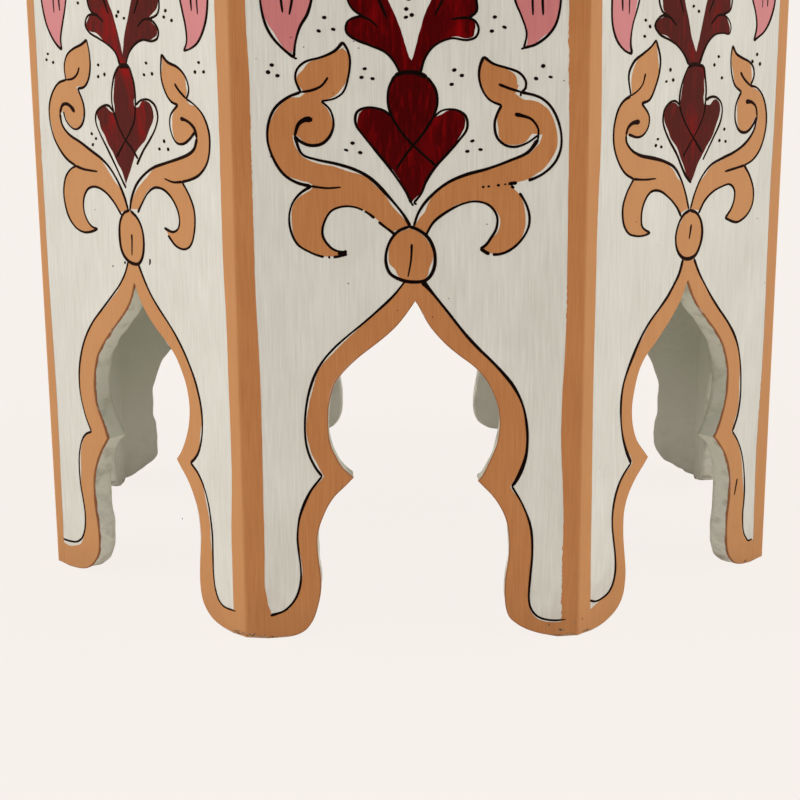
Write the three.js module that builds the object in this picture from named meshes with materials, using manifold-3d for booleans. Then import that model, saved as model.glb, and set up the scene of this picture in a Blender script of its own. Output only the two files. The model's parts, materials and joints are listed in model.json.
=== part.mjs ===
// An eight-sided wooden stool or side table, painted, with an ogee arch cut in every side.
//
// Eight upright boards are mitred together into a tube. The cut-out in each board leaves half a leg
// at either edge, so two neighbouring boards share one leg and its foot. Brads cross each mitre and
// glued blocks stiffen the corners under the top. The top is three planks, held flat by two screwed
// battens and nailed down into the blocks.
//
// Millimetres, +Z up, floor at z = 0, the stool's axis on Z, its front board facing -Y.
import * as THREE from "three";
import { mergeVertices } from "three/addons/utils/BufferGeometryUtils.js";
import Module from "manifold-3d";

const wasm = await Module();
wasm.setup();

// Boards and top
const sideNames = ["front", "front_right", "right", "back_right", "back", "back_left", "left", "front_left"];
const acrossFlats = 400;
const stoolHeight = 500;
const boardThickness = 12;
const topThickness = 16;
const topOverhang = 15;
const topArrisRadius = 3;
const nailEdgeDistance = 11.1;

// The arch: heights from the floor, and widths from the stool's corner to the edge of the cut
const archHeight = 170;
const haunchHeight = 113;
const haunchWidth = 40.8;
const cuspHeight = 81.5;
const cuspWidth = 51.8;
const ankleHeight = 48;
const ankleWidth = 34.8;
const footSwellHeight = 24;
const footWidth = 36.6;
const footPadWidth = 12.8;

// Blocks and battens under the top
const glueLine = 0.3;
const blockHeight = 60;
const blockReach = 26;
const blockFaceWidth = 24;
const battenWidth = 32;
const battenThickness = 14;
const battenSpacing = 220;
const battenEndClearance = 4;

// Fixings: rim is the straight edge of the head, headDepth reaches from its top to the shank
const fixingClearance = 0.3;
const brad = { radius: 0.7, length: 12, pointLength: 1.5, headRadius: 1.1, headDepth: 0.7, rim: 0.7 };
const bradInset = 3;
const bradSink = 0.5;
const bradFootHeight = 30;
const bradTopInset = 40;
const nail = { radius: 1.1, length: 42, pointLength: 3, headRadius: 2.4, headDepth: 1, rim: 1 };
const nailSink = 0.5;
const screw = { radius: 1.75, length: 24, pointLength: 5, headRadius: 3.4, headDepth: 2.2, rim: 0.4 };
const screwSink = 0.4;

// How far every cutter runs past the wood, and how finely curves are faceted
const cutOverrun = 5;
const archSteps = 8;
const arrisSteps = 3;
const fixingSides = 8;
const weldDistance = 1e-3;

// Worked out from the sizes above
const sideTurn = (2 * Math.PI) / sideNames.length;
const halfTurn = sideTurn / 2;
const apothem = acrossFlats / 2;
const innerApothem = apothem - boardThickness;
const halfSide = apothem * Math.tan(halfTurn);
const innerCornerRadius = innerApothem / Math.cos(halfTurn);
const topUnderside = stoolHeight - topThickness;
const underTop = topUnderside - glueLine;
const topApothem = apothem + topOverhang;
const blockFaceRadius = innerCornerRadius - blockReach;
const nailCircleRadius = innerCornerRadius - blockReach / 2;

// The middle plank is wide enough to take the front and back nails clear of its own edges
const plankJoint = nailCircleRadius * Math.sin(halfTurn) + nailEdgeDistance;
const plankEdges = [-topApothem - cutOverrun, -plankJoint, plankJoint, topApothem + cutOverrun];

// Each stretch of the arch goes on from the one before it. Its two handles stand at shares of the
// stretch's own run across and up, so the curve keeps its character when a size changes.
const archStretches = [
  { across: halfSide - footWidth, up: footSwellHeight, leaveShares: [0.55, 0], arriveShares: [1, 0.45] },
  { across: halfSide - ankleWidth, up: ankleHeight, leaveShares: [0, 0.45], arriveShares: [1, 0.55] },
  { across: halfSide - cuspWidth, up: cuspHeight, leaveShares: [0, 0.36], arriveShares: [0.08, 0.58] },
  { across: halfSide - haunchWidth, up: haunchHeight, leaveShares: [0.55, 0.45], arriveShares: [1, 0.52] },
  { across: 0, up: archHeight, leaveShares: [0, 0.52], arriveShares: [0.71, 0.58] },
];

const woods = {
  paintedBoard: { color: 0xd2cabb, roughness: 0.6, metalness: 0 },
  paintedTop: { color: 0xb57848, roughness: 0.55, metalness: 0 },
  bareWood: { color: 0xc6a071, roughness: 0.8, metalness: 0 },
  steel: { color: 0x8c8e90, roughness: 0.4, metalness: 1 },
};

// A closed geometry as a solid that can be cut
function solidFrom(geometry) {
  const bare = geometry.clone();
  bare.deleteAttribute("normal");
  bare.deleteAttribute("uv");
  const merged = mergeVertices(bare, weldDistance);
  const corners = merged.index.array;
  const triangles = [];
  for (let i = 0; i < corners.length; i += 3) {
    const [a, b, c] = corners.slice(i, i + 3);
    if (a !== b && b !== c && c !== a) {
      triangles.push(a, b, c);
    }
  }
  const vertProperties = new Float32Array(merged.attributes.position.array);
  const triVerts = new Uint32Array(triangles);
  return new wasm.Manifold(new wasm.Mesh({ numProp: 3, vertProperties, triVerts }));
}

// A cut solid as a geometry with flat faces
function geometryFrom(solid) {
  const mesh = solid.getMesh();
  const geometry = new THREE.BufferGeometry();
  geometry.setAttribute("position", new THREE.BufferAttribute(mesh.vertProperties, 3));
  geometry.setIndex(new THREE.BufferAttribute(mesh.triVerts, 1));
  const faceted = geometry.toNonIndexed();
  faceted.computeVertexNormals();
  return faceted;
}

function cut(solid, cutters) {
  return cutters.reduce((rest, cutter) => rest.subtract(solidFrom(cutter)), solid);
}

// An upright prism on the given plan
function prism(plan, bottom, height) {
  const shape = new THREE.Shape(plan.map(([x, y]) => new THREE.Vector2(x, y)));
  return new THREE.ExtrudeGeometry(shape, { depth: height, bevelEnabled: false }).translate(0, 0, bottom);
}

// A headed fixing that points down from the middle of its head at the origin. The hole it lies in
// has the same profile, wider by the clearance and open above the head.
function fixing({ radius, length, pointLength, headRadius, headDepth, rim }, clearance = 0, opening = 0) {
  const profile = [
    [0, -length - clearance],
    [radius + clearance, pointLength - length],
    [radius + clearance, -headDepth - clearance],
    [headRadius + clearance, -rim - clearance],
    [headRadius + clearance, opening],
    [0, opening],
  ];
  const points = profile.map(([across, up]) => new THREE.Vector2(across, up));
  return new THREE.LatheGeometry(points, fixingSides).rotateX(Math.PI / 2);
}

function fixingHole(spec) {
  return fixing(spec, fixingClearance, cutOverrun);
}

// Half of the arch, from the floor up to its tip
function archSide() {
  const points = [];
  let from = new THREE.Vector2(halfSide - footPadWidth, 0);
  for (const { across, up, leaveShares, arriveShares } of archStretches) {
    const to = new THREE.Vector2(across, up);
    const run = to.clone().sub(from);
    const leave = new THREE.Vector2(...leaveShares).multiply(run).add(from);
    const arrive = new THREE.Vector2(...arriveShares).multiply(run).add(from);
    const stretch = new THREE.CubicBezierCurve(from, leave, arrive, to);
    points.push(...stretch.getPoints(archSteps).slice(0, -1));
    from = to;
  }
  return points;
}

// The whole arch, carried through the front board and past the floor
function archCutter() {
  const right = archSide();
  const below = new THREE.Vector2(right[0].x, -cutOverrun);
  const left = right.map((point) => new THREE.Vector2(-point.x, point.y)).reverse();
  const belowLeft = new THREE.Vector2(-below.x, below.y);
  const tip = new THREE.Vector2(0, archHeight);
  const outline = new THREE.Shape([below, ...right, tip, ...left, belowLeft]);
  const depth = boardThickness + 2 * cutOverrun;
  const cutter = new THREE.ExtrudeGeometry(outline, { depth, bevelEnabled: false });
  return cutter.rotateX(Math.PI / 2).translate(0, cutOverrun - innerApothem, 0);
}

// Every other board carries the brads at both its edges, driven through into its neighbours
const bradHeights = [bradFootHeight, (archHeight + underTop) / 2, underTop - bradTopInset];
const bradEdges = [-1, 1];

function placeBrad(shape, edge, height) {
  const across = edge * (halfSide - bradInset);
  return shape.rotateX(Math.PI / 2).translate(across, bradSink - apothem, height);
}

// The front board before it is turned to its side. Mitres stop half a glue line short of the corner.
function boardSolid(carriesBrads) {
  const mitreGap = glueLine / 2 / Math.cos(halfTurn);
  const outer = halfSide - mitreGap;
  const inner = innerApothem * Math.tan(halfTurn) - mitreGap;
  const plan = [
    [-outer, -apothem],
    [outer, -apothem],
    [inner, -innerApothem],
    [-inner, -innerApothem],
  ];
  const cutters = [archCutter()];
  for (const edge of bradEdges) {
    for (const height of bradHeights) {
      const hole = placeBrad(fixingHole(brad), edge, height);
      cutters.push(carriesBrads ? hole : hole.rotateZ(-edge * sideTurn));
    }
  }
  return cut(solidFrom(prism(plan, 0, underTop)), cutters);
}

// The block in a corner, as if the corner faced -Y
function blockSolid() {
  const point = innerCornerRadius - glueLine / Math.cos(halfTurn);
  const across = blockFaceWidth * Math.cos(halfTurn);
  const shoulder = point - blockFaceWidth * Math.sin(halfTurn);
  const plan = [
    [0, -point],
    [across, -shoulder],
    [across, -blockFaceRadius],
    [-across, -blockFaceRadius],
    [-across, -shoulder],
  ];
  const block = prism(plan, underTop - blockHeight, blockHeight);
  return cut(solidFrom(block), [placeNail(fixingHole(nail))]);
}

function placeNail(shape) {
  return shape.translate(0, -nailCircleRadius, stoolHeight - nailSink);
}

// The corner that follows side number k, as a turn from the front
function cornerTurn(k) {
  return k * sideTurn + halfTurn;
}

// The length of free space along X at a distance y from the axis, between boards and blocks
function freeHalfLength(y) {
  const limits = [];
  for (let turn = 0; turn < Math.PI / 2 - halfTurn / 2; turn += halfTurn) {
    const facesBoard = Math.round(turn / halfTurn) % 2 === 0;
    const wall = facesBoard ? innerApothem : blockFaceRadius;
    limits.push((wall - y * Math.sin(turn)) / Math.cos(turn));
  }
  return Math.min(...limits);
}

const battenOuterEdge = (battenSpacing + battenWidth) / 2;
const battenHalfLength = freeHalfLength(battenOuterEdge) - battenEndClearance;
const battenSides = [-1, 1];
const outerScrewX = (plankJoint + battenHalfLength) / 2;
const screwPlaces = [-outerScrewX, 0, outerScrewX];

function placeScrew(shape, x, y) {
  return shape.rotateX(Math.PI).translate(x, y, underTop - battenThickness + screwSink);
}

function battenSolid(side) {
  const y = (side * battenSpacing) / 2;
  const bar = new THREE.BoxGeometry(2 * battenHalfLength, battenWidth, battenThickness);
  bar.translate(0, y, underTop - battenThickness / 2);
  return cut(solidFrom(bar), screwPlaces.map((x) => placeScrew(fixingHole(screw), x, y)));
}

// The octagonal top with rounded arrises and all its holes, before it is parted into planks
function topSolid() {
  const radius = topApothem / Math.cos(halfTurn);
  const corners = sideNames.map((_, k) => {
    const turn = cornerTurn(k);
    return new THREE.Vector2(radius * Math.sin(turn), -radius * Math.cos(turn));
  });
  const slab = new THREE.ExtrudeGeometry(new THREE.Shape(corners), {
    depth: topThickness - 2 * topArrisRadius,
    bevelThickness: topArrisRadius,
    bevelSize: topArrisRadius,
    bevelOffset: -topArrisRadius,
    bevelSegments: arrisSteps,
  });
  slab.translate(0, 0, topUnderside + topArrisRadius);
  const nailHoles = sideNames.map((_, k) => placeNail(fixingHole(nail)).rotateZ(cornerTurn(k)));
  const screwHoles = battenSides.flatMap((side) =>
    screwPlaces.map((x) => placeScrew(fixingHole(screw), x, (side * battenSpacing) / 2)),
  );
  return cut(solidFrom(slab), [...nailHoles, ...screwHoles]);
}

function plankSolid(top, from, to) {
  const width = to - from - glueLine;
  const saw = new THREE.BoxGeometry(width, 2 * (topApothem + cutOverrun), topThickness + 2 * cutOverrun);
  saw.translate((from + to) / 2, 0, topUnderside + topThickness / 2);
  return top.intersect(solidFrom(saw));
}

// The stool
const stool = new THREE.Group();

function addPiece(name, geometry, finish, turn = 0) {
  const piece = new THREE.Mesh(geometry, new THREE.MeshStandardMaterial(finish));
  piece.name = name;
  piece.rotation.z = turn;
  stool.add(piece);
}

const bradBoard = geometryFrom(boardSolid(true));
const plainBoard = geometryFrom(boardSolid(false));
const block = geometryFrom(blockSolid());
const bradLevels = ["low", "middle", "high"];

sideNames.forEach((side, k) => {
  const carriesBrads = k % 2 === 0;
  addPiece(`${side}_board`, carriesBrads ? bradBoard : plainBoard, woods.paintedBoard, k * sideTurn);
  addPiece(`corner_block_${k + 1}`, block, woods.bareWood, cornerTurn(k));
  addPiece(`top_nail_${k + 1}`, placeNail(fixing(nail)), woods.steel, cornerTurn(k));
  if (carriesBrads) {
    bradEdges.forEach((edge, e) => {
      bradHeights.forEach((height, level) => {
        const name = `${side}_brad_${["left", "right"][e]}_${bradLevels[level]}`;
        addPiece(name, placeBrad(fixing(brad), edge, height), woods.steel, k * sideTurn);
      });
    });
  }
});

const top = topSolid();
["left", "middle", "right"].forEach((place, i) => {
  const plank = plankSolid(top, plankEdges[i], plankEdges[i + 1]);
  addPiece(`top_plank_${place}`, geometryFrom(plank), woods.paintedTop);
});

battenSides.forEach((side) => {
  const place = side < 0 ? "front" : "back";
  addPiece(`top_batten_${place}`, geometryFrom(battenSolid(side)), woods.bareWood);
  screwPlaces.forEach((x, i) => {
    const driven = placeScrew(fixing(screw), x, (side * battenSpacing) / 2);
    addPiece(`batten_screw_${place}_${i + 1}`, driven, woods.steel);
  });
});

export default stool;
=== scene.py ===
# The looks of an eight-sided painted stool: a brushed pale ground, ornament drawn by hand in tan,
# dark red, pink and black, rough primer on the sawn edges and inside, and bare wood under the top.
import json
import math

import bpy
from mathutils import Matrix, Vector, noise

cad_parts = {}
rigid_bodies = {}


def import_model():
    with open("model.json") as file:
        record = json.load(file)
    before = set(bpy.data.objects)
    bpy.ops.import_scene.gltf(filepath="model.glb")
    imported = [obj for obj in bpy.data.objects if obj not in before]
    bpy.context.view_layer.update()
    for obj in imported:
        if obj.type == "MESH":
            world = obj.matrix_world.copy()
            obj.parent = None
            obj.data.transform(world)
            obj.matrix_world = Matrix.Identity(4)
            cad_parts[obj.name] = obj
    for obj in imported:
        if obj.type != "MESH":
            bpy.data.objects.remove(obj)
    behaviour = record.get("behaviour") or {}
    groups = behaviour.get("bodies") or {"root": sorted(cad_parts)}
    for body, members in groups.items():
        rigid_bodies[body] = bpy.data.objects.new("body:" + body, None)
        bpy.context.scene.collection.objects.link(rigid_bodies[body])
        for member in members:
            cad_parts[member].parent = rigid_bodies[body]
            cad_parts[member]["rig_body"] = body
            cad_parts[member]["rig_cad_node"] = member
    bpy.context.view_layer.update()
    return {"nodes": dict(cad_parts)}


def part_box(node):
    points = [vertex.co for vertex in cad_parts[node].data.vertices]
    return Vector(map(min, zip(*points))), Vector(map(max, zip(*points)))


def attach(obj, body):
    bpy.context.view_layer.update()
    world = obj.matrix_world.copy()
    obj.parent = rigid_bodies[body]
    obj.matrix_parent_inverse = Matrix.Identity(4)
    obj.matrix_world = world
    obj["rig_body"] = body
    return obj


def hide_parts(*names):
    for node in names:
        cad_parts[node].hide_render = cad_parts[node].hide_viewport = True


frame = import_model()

MM = 0.001

# Points closer than this, in metres, are one, and edges level within this, in millimetres, are flat
MERGED = 1e-6
LEVEL = 0.01

# Without a seed of its own, the drawing hands' noise would come out differently on each run
noise.seed_set(1)


# Camera, from the photograph: pixels of its 800 x 800 frame, millimetres and degrees

PHOTO_SIDE_PX = 800
FOCAL_LENGTH_PX = 1676.3
OPTICAL_CENTRE_PX = (421.8, 395.5)
CAMERA_PLACE = (-3.1, -985.9, 319.8)
CAMERA_TILT = 13.92
CAMERA_HEADING = 0.6
CAMERA_ROLL = -0.15
SENSOR_WIDTH = 36


def add_camera():
    bpy.ops.object.camera_add(location=Vector(CAMERA_PLACE) * MM)
    camera = bpy.context.object
    turn = Matrix.Rotation(math.radians(-CAMERA_HEADING), 4, "Z")
    turn @= Matrix.Rotation(math.radians(90 - CAMERA_TILT), 4, "X")
    turn @= Matrix.Rotation(math.radians(CAMERA_ROLL), 4, "Z")
    camera.rotation_euler = turn.to_euler()
    camera.data.sensor_width = SENSOR_WIDTH
    camera.data.lens = FOCAL_LENGTH_PX / PHOTO_SIDE_PX * SENSOR_WIDTH
    camera.data.shift_x = 0.5 - OPTICAL_CENTRE_PX[0] / PHOTO_SIDE_PX
    camera.data.shift_y = OPTICAL_CENTRE_PX[1] / PHOTO_SIDE_PX - 0.5
    camera.data.clip_start = 0.05
    camera.data.clip_end = 200
    bpy.context.scene.camera = camera


add_camera()


# Sizes of the stool, from its frame, in millimetres

SIDES = ["front", "front_right", "right", "back_right", "back", "back_left", "left", "front_left"]
SIDE_TURN = math.radians(45)
HALF_TURN = SIDE_TURN / 2
board_low, board_high = (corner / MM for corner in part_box("front_board"))
plank_low, plank_high = (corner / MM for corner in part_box("top_plank_left"))
APOTHEM = -board_low.y
THICKNESS = board_high.y - board_low.y
BOARD_HEIGHT = board_high.z
HALF_SIDE = APOTHEM * math.tan(HALF_TURN)
TOP_UNDERSIDE = plank_low.z
TOP_SURFACE = plank_high.z
TOP_APOTHEM = -plank_low.x
PLANK_JOINT = -plank_high.x


# How the paint lies: films over the wood, each a little higher than the one it was painted over

FILM_SINK = 0.05
BORDER_LEVEL = 0.05
FILL_LEVEL = 0.06
FILL_LEVEL_STEP = 0.01
FILL_LEVELS = 4
BAND_LEVEL = 0.1
CHIP_LEVEL = 0.12
LINE_LEVEL = 0.1


# The drawing on three sides, in millimetres across from the middle of a side and up from the floor.
# Each side was drawn by hand on its own, so the same ornament comes out a little different on each.
# A spot that the brush missed has its reach and depth, a chip its half width and half height, and a
# place where the line brush ran dry its reach.

FRONT = {
    "arch": [
        [(-72, 0), (-65, 0.5), (-61, 0.9), (-57, 2), (-53, 4.4), (-50, 8.3), (-48.3, 12), (-46.8, 17),
         (-45.6, 22.5), (-45.1, 28), (-45.2, 34), (-45.8, 39), (-46.4, 45), (-46.4, 53.5), (-45.2, 59),
         (-43.3, 64), (-41, 69), (-37.5, 74.2), (-32.4, 79.3), (-28.3, 83.6)],
        [(-28.3, 83.6), (-34.1, 89.5), (-36.9, 94.6), (-39, 99.7), (-40.1, 106), (-40.2, 114), (-39.8, 120),
         (-37.3, 129.7), (-34.2, 134.6), (-29.7, 139.6), (-24.3, 144.5), (-18.1, 149.3), (-12, 154.2),
         (-6.8, 159.1), (-2.9, 163.9), (0.3, 168.4), (2.1, 171.2)],
        [(2.1, 171.2), (3.9, 168.4), (6.1, 164), (9, 159), (12.9, 154.1), (17.6, 149.2), (23.6, 144.2),
         (30, 139.3), (34.8, 134.3), (38, 129.3), (40.3, 124.3), (42, 119), (42.8, 113.5), (42.8, 108),
         (42.4, 104), (41.3, 99.2), (39.3, 94.2), (37, 89.1), (34.7, 84.5), (32.5, 81.6)],
        [(32.5, 81.6), (36, 77.9), (39.8, 73.8), (43.3, 68.6), (45.8, 63.4), (47.3, 58), (48, 52),
         (48.2, 47), (47.9, 42), (47.2, 37), (46.5, 32), (46.1, 26), (46.2, 21), (46.8, 15.5), (48.6, 10.4),
         (52.6, 6.7), (56.7, 4.3), (60.8, 2.7), (65, 1.5), (69, 0.7), (73, 0)],
    ],
    "border_left": [
        [(-2.6, 181), (-8.5, 173.7), (-16.8, 165.9), (-23.5, 160.1), (-30.6, 154.3), (-37, 148.5),
         (-42.1, 142.6), (-45.7, 136.7), (-48.1, 130.8), (-49.8, 124.8), (-51, 118), (-51.6, 110),
         (-51.2, 101.5), (-49.5, 94.7), (-46.6, 88.6), (-43.7, 84.6)],
        [(-43.7, 84.6), (-49.8, 76.4), (-54.8, 64.5), (-56.3, 54), (-55.9, 46), (-55.1, 38), (-55, 32),
         (-56, 26), (-58.5, 20.2), (-63.5, 14.9), (-70.5, 12.3)],
    ],
    "border_right": [
        [(5.5, 181), (10.5, 175), (17.8, 165.8), (22.3, 159.9), (27, 154), (32.5, 148), (38.4, 142.2),
         (44, 136.2), (48.8, 130.2), (52.2, 124.3), (54.5, 118.3), (55.9, 111), (56.5, 103), (55.9, 94.6),
         (54, 88), (51.6, 82.5), (49.2, 78.8)],
        [(49.2, 78.8), (54.5, 69.5), (58.6, 58), (59.6, 45), (58.7, 31), (58.2, 21), (59.2, 15.5),
         (62, 11.5), (66.5, 9.4), (72, 8.8), (77, 9.4)],
    ],
    "bud": [(0, 207.3), (-6, 204.7), (-10.2, 199), (-11.8, 191.5), (-10, 185), (-5, 181.8), (1, 180.6),
            (7.5, 181.6), (11, 186.8), (11.4, 194.5), (8.5, 201.5), (3.5, 205.6), (-1, 207.2)],
    "bud_vein": [(0.6, 198.8), (0.2, 191), (-1.3, 183)],
    "scrolls": [
        {
            "stem": [(0, 207), (-3.5, 213), (-10, 221), (-18, 229.3), (-25, 233.5), (-34, 236.5),
                     (-44, 238.7), (-50.5, 241.3), (-53.7, 249.5)],
            "eye": [(-53.7, 249.5), (-51.8, 255), (-48.5, 257.2), (-45.3, 257)],
            "curl": [(-53.7, 249.5), (-51, 247), (-46.5, 245.2), (-41, 246), (-37, 250), (-35.5, 255.5),
                     (-37, 261.5), (-41, 265.5)],
            "leaf_front": [(-41, 265.5), (-35, 266.7), (-30.7, 269.8), (-28.3, 277), (-27.5, 284),
                           (-28.5, 288.5), (-30.7, 292.3)],
            "leaf_back": [(-30.7, 292.3), (-34.5, 288.3), (-41, 285.4), (-48, 283.5), (-52, 280),
                          (-52.8, 275.5), (-50.5, 269.7)],
            "vein": [(-37.8, 276.4), (-40.5, 272.8), (-45, 270.6), (-50.5, 269.7)],
            "back": [(-50.5, 269.7), (-56.5, 267.3), (-62.5, 262.5), (-65.7, 255.5), (-66.2, 247),
                     (-63.5, 238.5), (-59, 231.7), (-53, 227.9), (-46.5, 226.2)],
            "tail": [(-46.5, 226.2), (-39, 225.3), (-32.5, 225.7)],
            "hook_back": [(-46.5, 226.2), (-51.5, 223), (-55.3, 218.3), (-57, 212), (-56.3, 205),
                          (-53.3, 198.8), (-48, 195.3), (-42, 193), (-36, 192.7), (-30, 194)],
            "hook_front": [(-7.5, 203.5), (-14, 208.5), (-20, 213.5), (-26, 216.3), (-32, 216.6),
                           (-37.5, 214.3), (-41, 208), (-41.3, 202.5), (-38, 197.5), (-34.5, 195.5),
                           (-30, 195)],
        },
        {
            "stem": [(1.5, 207), (4, 214), (9, 220.7), (17, 227.3), (26, 231.3), (36, 234), (47, 238),
                     (55, 241.7), (59.6, 247.5)],
            "eye": [(59.6, 247.5), (59.6, 252.5), (56.6, 256.8), (53, 258.3), (48.7, 259.3)],
            "eye_widths": (1.5, 1.35, 2.8),
            "curl": [(59.6, 249.5), (54.5, 246), (49, 244.2), (44, 245.2), (40.3, 249), (39.3, 255),
                     (40.5, 259.5), (42.5, 263.3)],
            "leaf_front": [(42.5, 263.3), (37, 265.8), (33.5, 270.5), (32, 276), (32.3, 281), (34, 285.5)],
            "leaf_back": [(34, 285.5), (38.5, 282.3), (45, 280.3), (50.5, 278.2), (53.5, 274.5),
                          (53.4, 271), (51.5, 269.4)],
            "vein": [(41, 273), (46.5, 270.9), (51.5, 269.4)],
            "back": [(51.5, 269.4), (60.5, 266.8), (66, 261.8), (69.8, 253), (70.4, 244), (67.5, 236.7),
                     (61.5, 231.2), (54, 228.2), (46, 227)],
            "tail": [(46, 227), (40, 226.2), (33.5, 225.5)],
            "hook_back": [(46, 227), (51.5, 222.3), (55.5, 214.5), (55.9, 207.5), (53, 201.3), (48, 196.3),
                          (42.5, 193.8), (37, 194), (33, 196.5)],
            "hook_front": [(7, 202.5), (11, 209.2), (18, 214.5), (25, 217.8), (31, 218.8), (37, 217),
                           (40.7, 212), (40.5, 206), (38, 201.5), (35.5, 198), (33, 196.5)],
        },
    ],
    "palmette": {
        "cap": [(-7, 277), (-3, 278.4), (3, 278.3), (8, 276.2)],
        "core_left": [(-7, 277), (-9.8, 271), (-10.1, 264), (-8.5, 258.5)],
        "core_right": [(8, 276.2), (11.8, 270.8), (12.6, 264.2), (10.7, 257.8)],
        "tail_left": [(-8.5, 258.5), (-5, 252.5), (0, 246.5), (5, 241.8), (12, 235.5)],
        "tail_right": [(10.7, 257.8), (6, 250.5), (0.5, 244), (-3, 239.5), (-6.5, 234)],
        "lobe_left": [(-8.5, 258.5), (-13, 261.5), (-20, 262.5), (-24.7, 260.3), (-25.2, 255), (-22, 250),
                      (-17, 243.8), (-11, 236.5), (-5, 228), (-1.5, 222.5), (0.5, 218)],
        "lobe_right": [(10.7, 257.8), (15, 261.1), (21, 261.4), (25.8, 258.5), (26.5, 252.8), (22.5, 247),
                       (17, 240.8), (12, 235.3), (7.5, 228.5), (5, 222.5), (1.6, 218.2)],
    },
    "leaves": [
        {
            "lower": [(-4.4, 278.2), (-7.4, 283.6), (-11.3, 287.7), (-18, 290.7), (-25, 293.5),
                      (-29, 296.7), (-28.8, 300.8), (-26, 303), (-21.5, 303.9)],
            "upper": [(-21.5, 303.9), (-26, 307), (-28.3, 311.5), (-28, 316.5), (-24.5, 320), (-19, 321.5),
                      (-14.5, 325)],
            "inner": [(-14.5, 325), (-12.8, 319), (-9.7, 311), (-6, 303.5), (-3, 294.8), (0.4, 284.3)],
            "veins": [[(-22.5, 304), (-18.5, 302.3), (-14.5, 299)], [(-17, 317), (-14, 311), (-10.5, 303)]],
        },
        {
            "lower": [(4.8, 278.2), (7, 285), (11.5, 290.7), (19, 293.8), (26, 293), (30.3, 294.3),
                      (31.7, 298), (30, 301.5), (27, 302.9)],
            "upper": [(27, 302.9), (30.6, 306), (30.3, 311.5), (29, 316.5), (25, 320), (19.5, 321.3),
                      (15, 325)],
            "inner": [(15, 325), (13, 319), (10, 311), (7, 304), (4, 295.2), (0.8, 284.3)],
            "veins": [[(27, 303), (23, 302.9), (19, 302.3)], [(17.5, 316), (14.5, 310), (11.5, 304)]],
        },
    ],
    "petals": [
        {
            "outer": [(-53.3, 285.3), (-58.5, 289.6), (-63.5, 295.3), (-66.7, 302.5), (-68.3, 313),
                      (-68.4, 328.2)],
            "inner": [(-53.3, 285.3), (-52.5, 292), (-50.3, 299), (-46.7, 305), (-44.5, 313),
                      (-43.5, 328.2)],
            "veins": [[(-58, 305.5), (-58.7, 312), (-58.6, 324)],
                      [(-55, 304.5), (-53.6, 312), (-53.3, 324)]],
        },
        {
            "outer": [(52.5, 289.3), (58, 291), (63.5, 295), (67, 300), (68.8, 307), (69.3, 316),
                      (69.2, 328.2)],
            "inner": [(52.5, 289.3), (53.7, 296), (51.5, 303), (48.5, 310), (46.7, 318), (46.3, 328.2)],
            "veins": [[(56.5, 304), (56.2, 312), (56.5, 324)], [(61.2, 304), (60.8, 312), (61.3, 324)]],
        },
    ],
    "dots": [(-39, 303.3), (-41.7, 297.3), (-35, 298), (-63.5, 282), (-65.3, 278.8), (-61, 277.2),
             (-20.8, 280.2), (-22.3, 276.3), (-17.2, 275.7), (-26.8, 246.2), (-29.8, 243), (-23.3, 241.8),
             (39, 303.3), (37.7, 297), (43.5, 298.7), (61.5, 281.2), (58.3, 275.5), (65, 276.2),
             (20.5, 279.5), (24, 277), (19.3, 273), (29, 247), (26.7, 242.2), (32.8, 243), (-1.5, 307),
             (1, 304.3), (-1.7, 303.3)],
    "marks": [[(-53.3, 285.3), (-51.8, 284.8)], [(51.5, 269.4), (51.2, 267.4)],
              [(52.5, 289.3), (51.2, 288.9)], [(0.5, 218), (1.4, 216.8)], [(1.6, 218.2), (3, 217.5)],
              [(-1.8, 311.6), (0.4, 310.9)], [(-34.5, 194.2), (-32, 194.7), (-30.5, 194.5)],
              [(-30.8, 196), (-31, 193.2)]],
    "missed": [(-63, 295.5, 6, 1.4), (-53.3, 285.3, 3, 1.2), (61.5, 294.5, 5, 0.9), (52.5, 289.3, 3, 0.8),
               (-50.5, 280, 4.5, 1.7), (-30.5, 292, 2.5, 1.9), (-31, 269.7, 4, 0.8), (-50.5, 267.5, 3, 1),
               (-53.7, 247, 4, 0.9), (52, 274, 5, 2.6), (59, 267, 9, 1.6), (66.5, 257, 8, 1.2),
               (69.5, 246, 8, 0.7), (67, 236, 7, 1.2), (60, 231, 5, 0.6), (39.5, 252, 5, 0.8),
               (47, 244.7, 5, 0.6), (57.5, 249, 3, 1.1), (-24, 258.5, 4, 1), (14.5, 260, 3, 1.3),
               (26, 251, 7, 0.8), (30.5, 297, 3.5, 1.4), (23, 293.8, 5, 0.6), (54.5, 212, 8, 1.1),
               (41, 209, 6, 0.7), (-9, 185.6, 4, 1.2), (9.5, 187, 4.5, 1.4), (5, 216, 6, 0.8),
               (-56, 210, 6, 0.6), (-42, 236.2, 7, 0.9), (-28.6, 231.6, 7, 1.2), (-17, 225.6, 6, 1.1),
               (-8.6, 217.2, 5, 0.8), (-50.3, 227.3, 7, 0.6), (-50, 268, 4, 1), (-8.5, 186, 3.5, 1),
               (-10.7, 193, 4, 0.6), (4.2, 215, 5, 0.8), (16, 224, 6, 0.5), (-38, 147, 9, 0.6),
               (-48, 131, 9, 0.5), (-51, 116, 8, 0.3), (-50.5, 98, 8, 0.8), (-47, 89.5, 5, 0.8),
               (18, 206, 7, 0.5)],
    "border_widths": [(1.7, 1.3, 1.4), (1.4, 1.3, 2.7), (3.8, 1.75, 1.6), (1.6, 1.35, 0.4)],
    "turn_up": [(-71.5, 13.6), (-73.5, 21)],
    "chips": [(74.8, 3.8, 1.7, 0.8), (-80, 2.1, 2.4, 0.9), (-74.5, 1.4, 2.6, 0.7), (-69.5, 1, 1.4, 0.4),
              (79.5, 1.6, 1.8, 0.5), (73, 1, 2, 0.4), (81.3, 8, 0.6, 0.6), (68.5, 6.2, 0.4, 1.2)],
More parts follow.
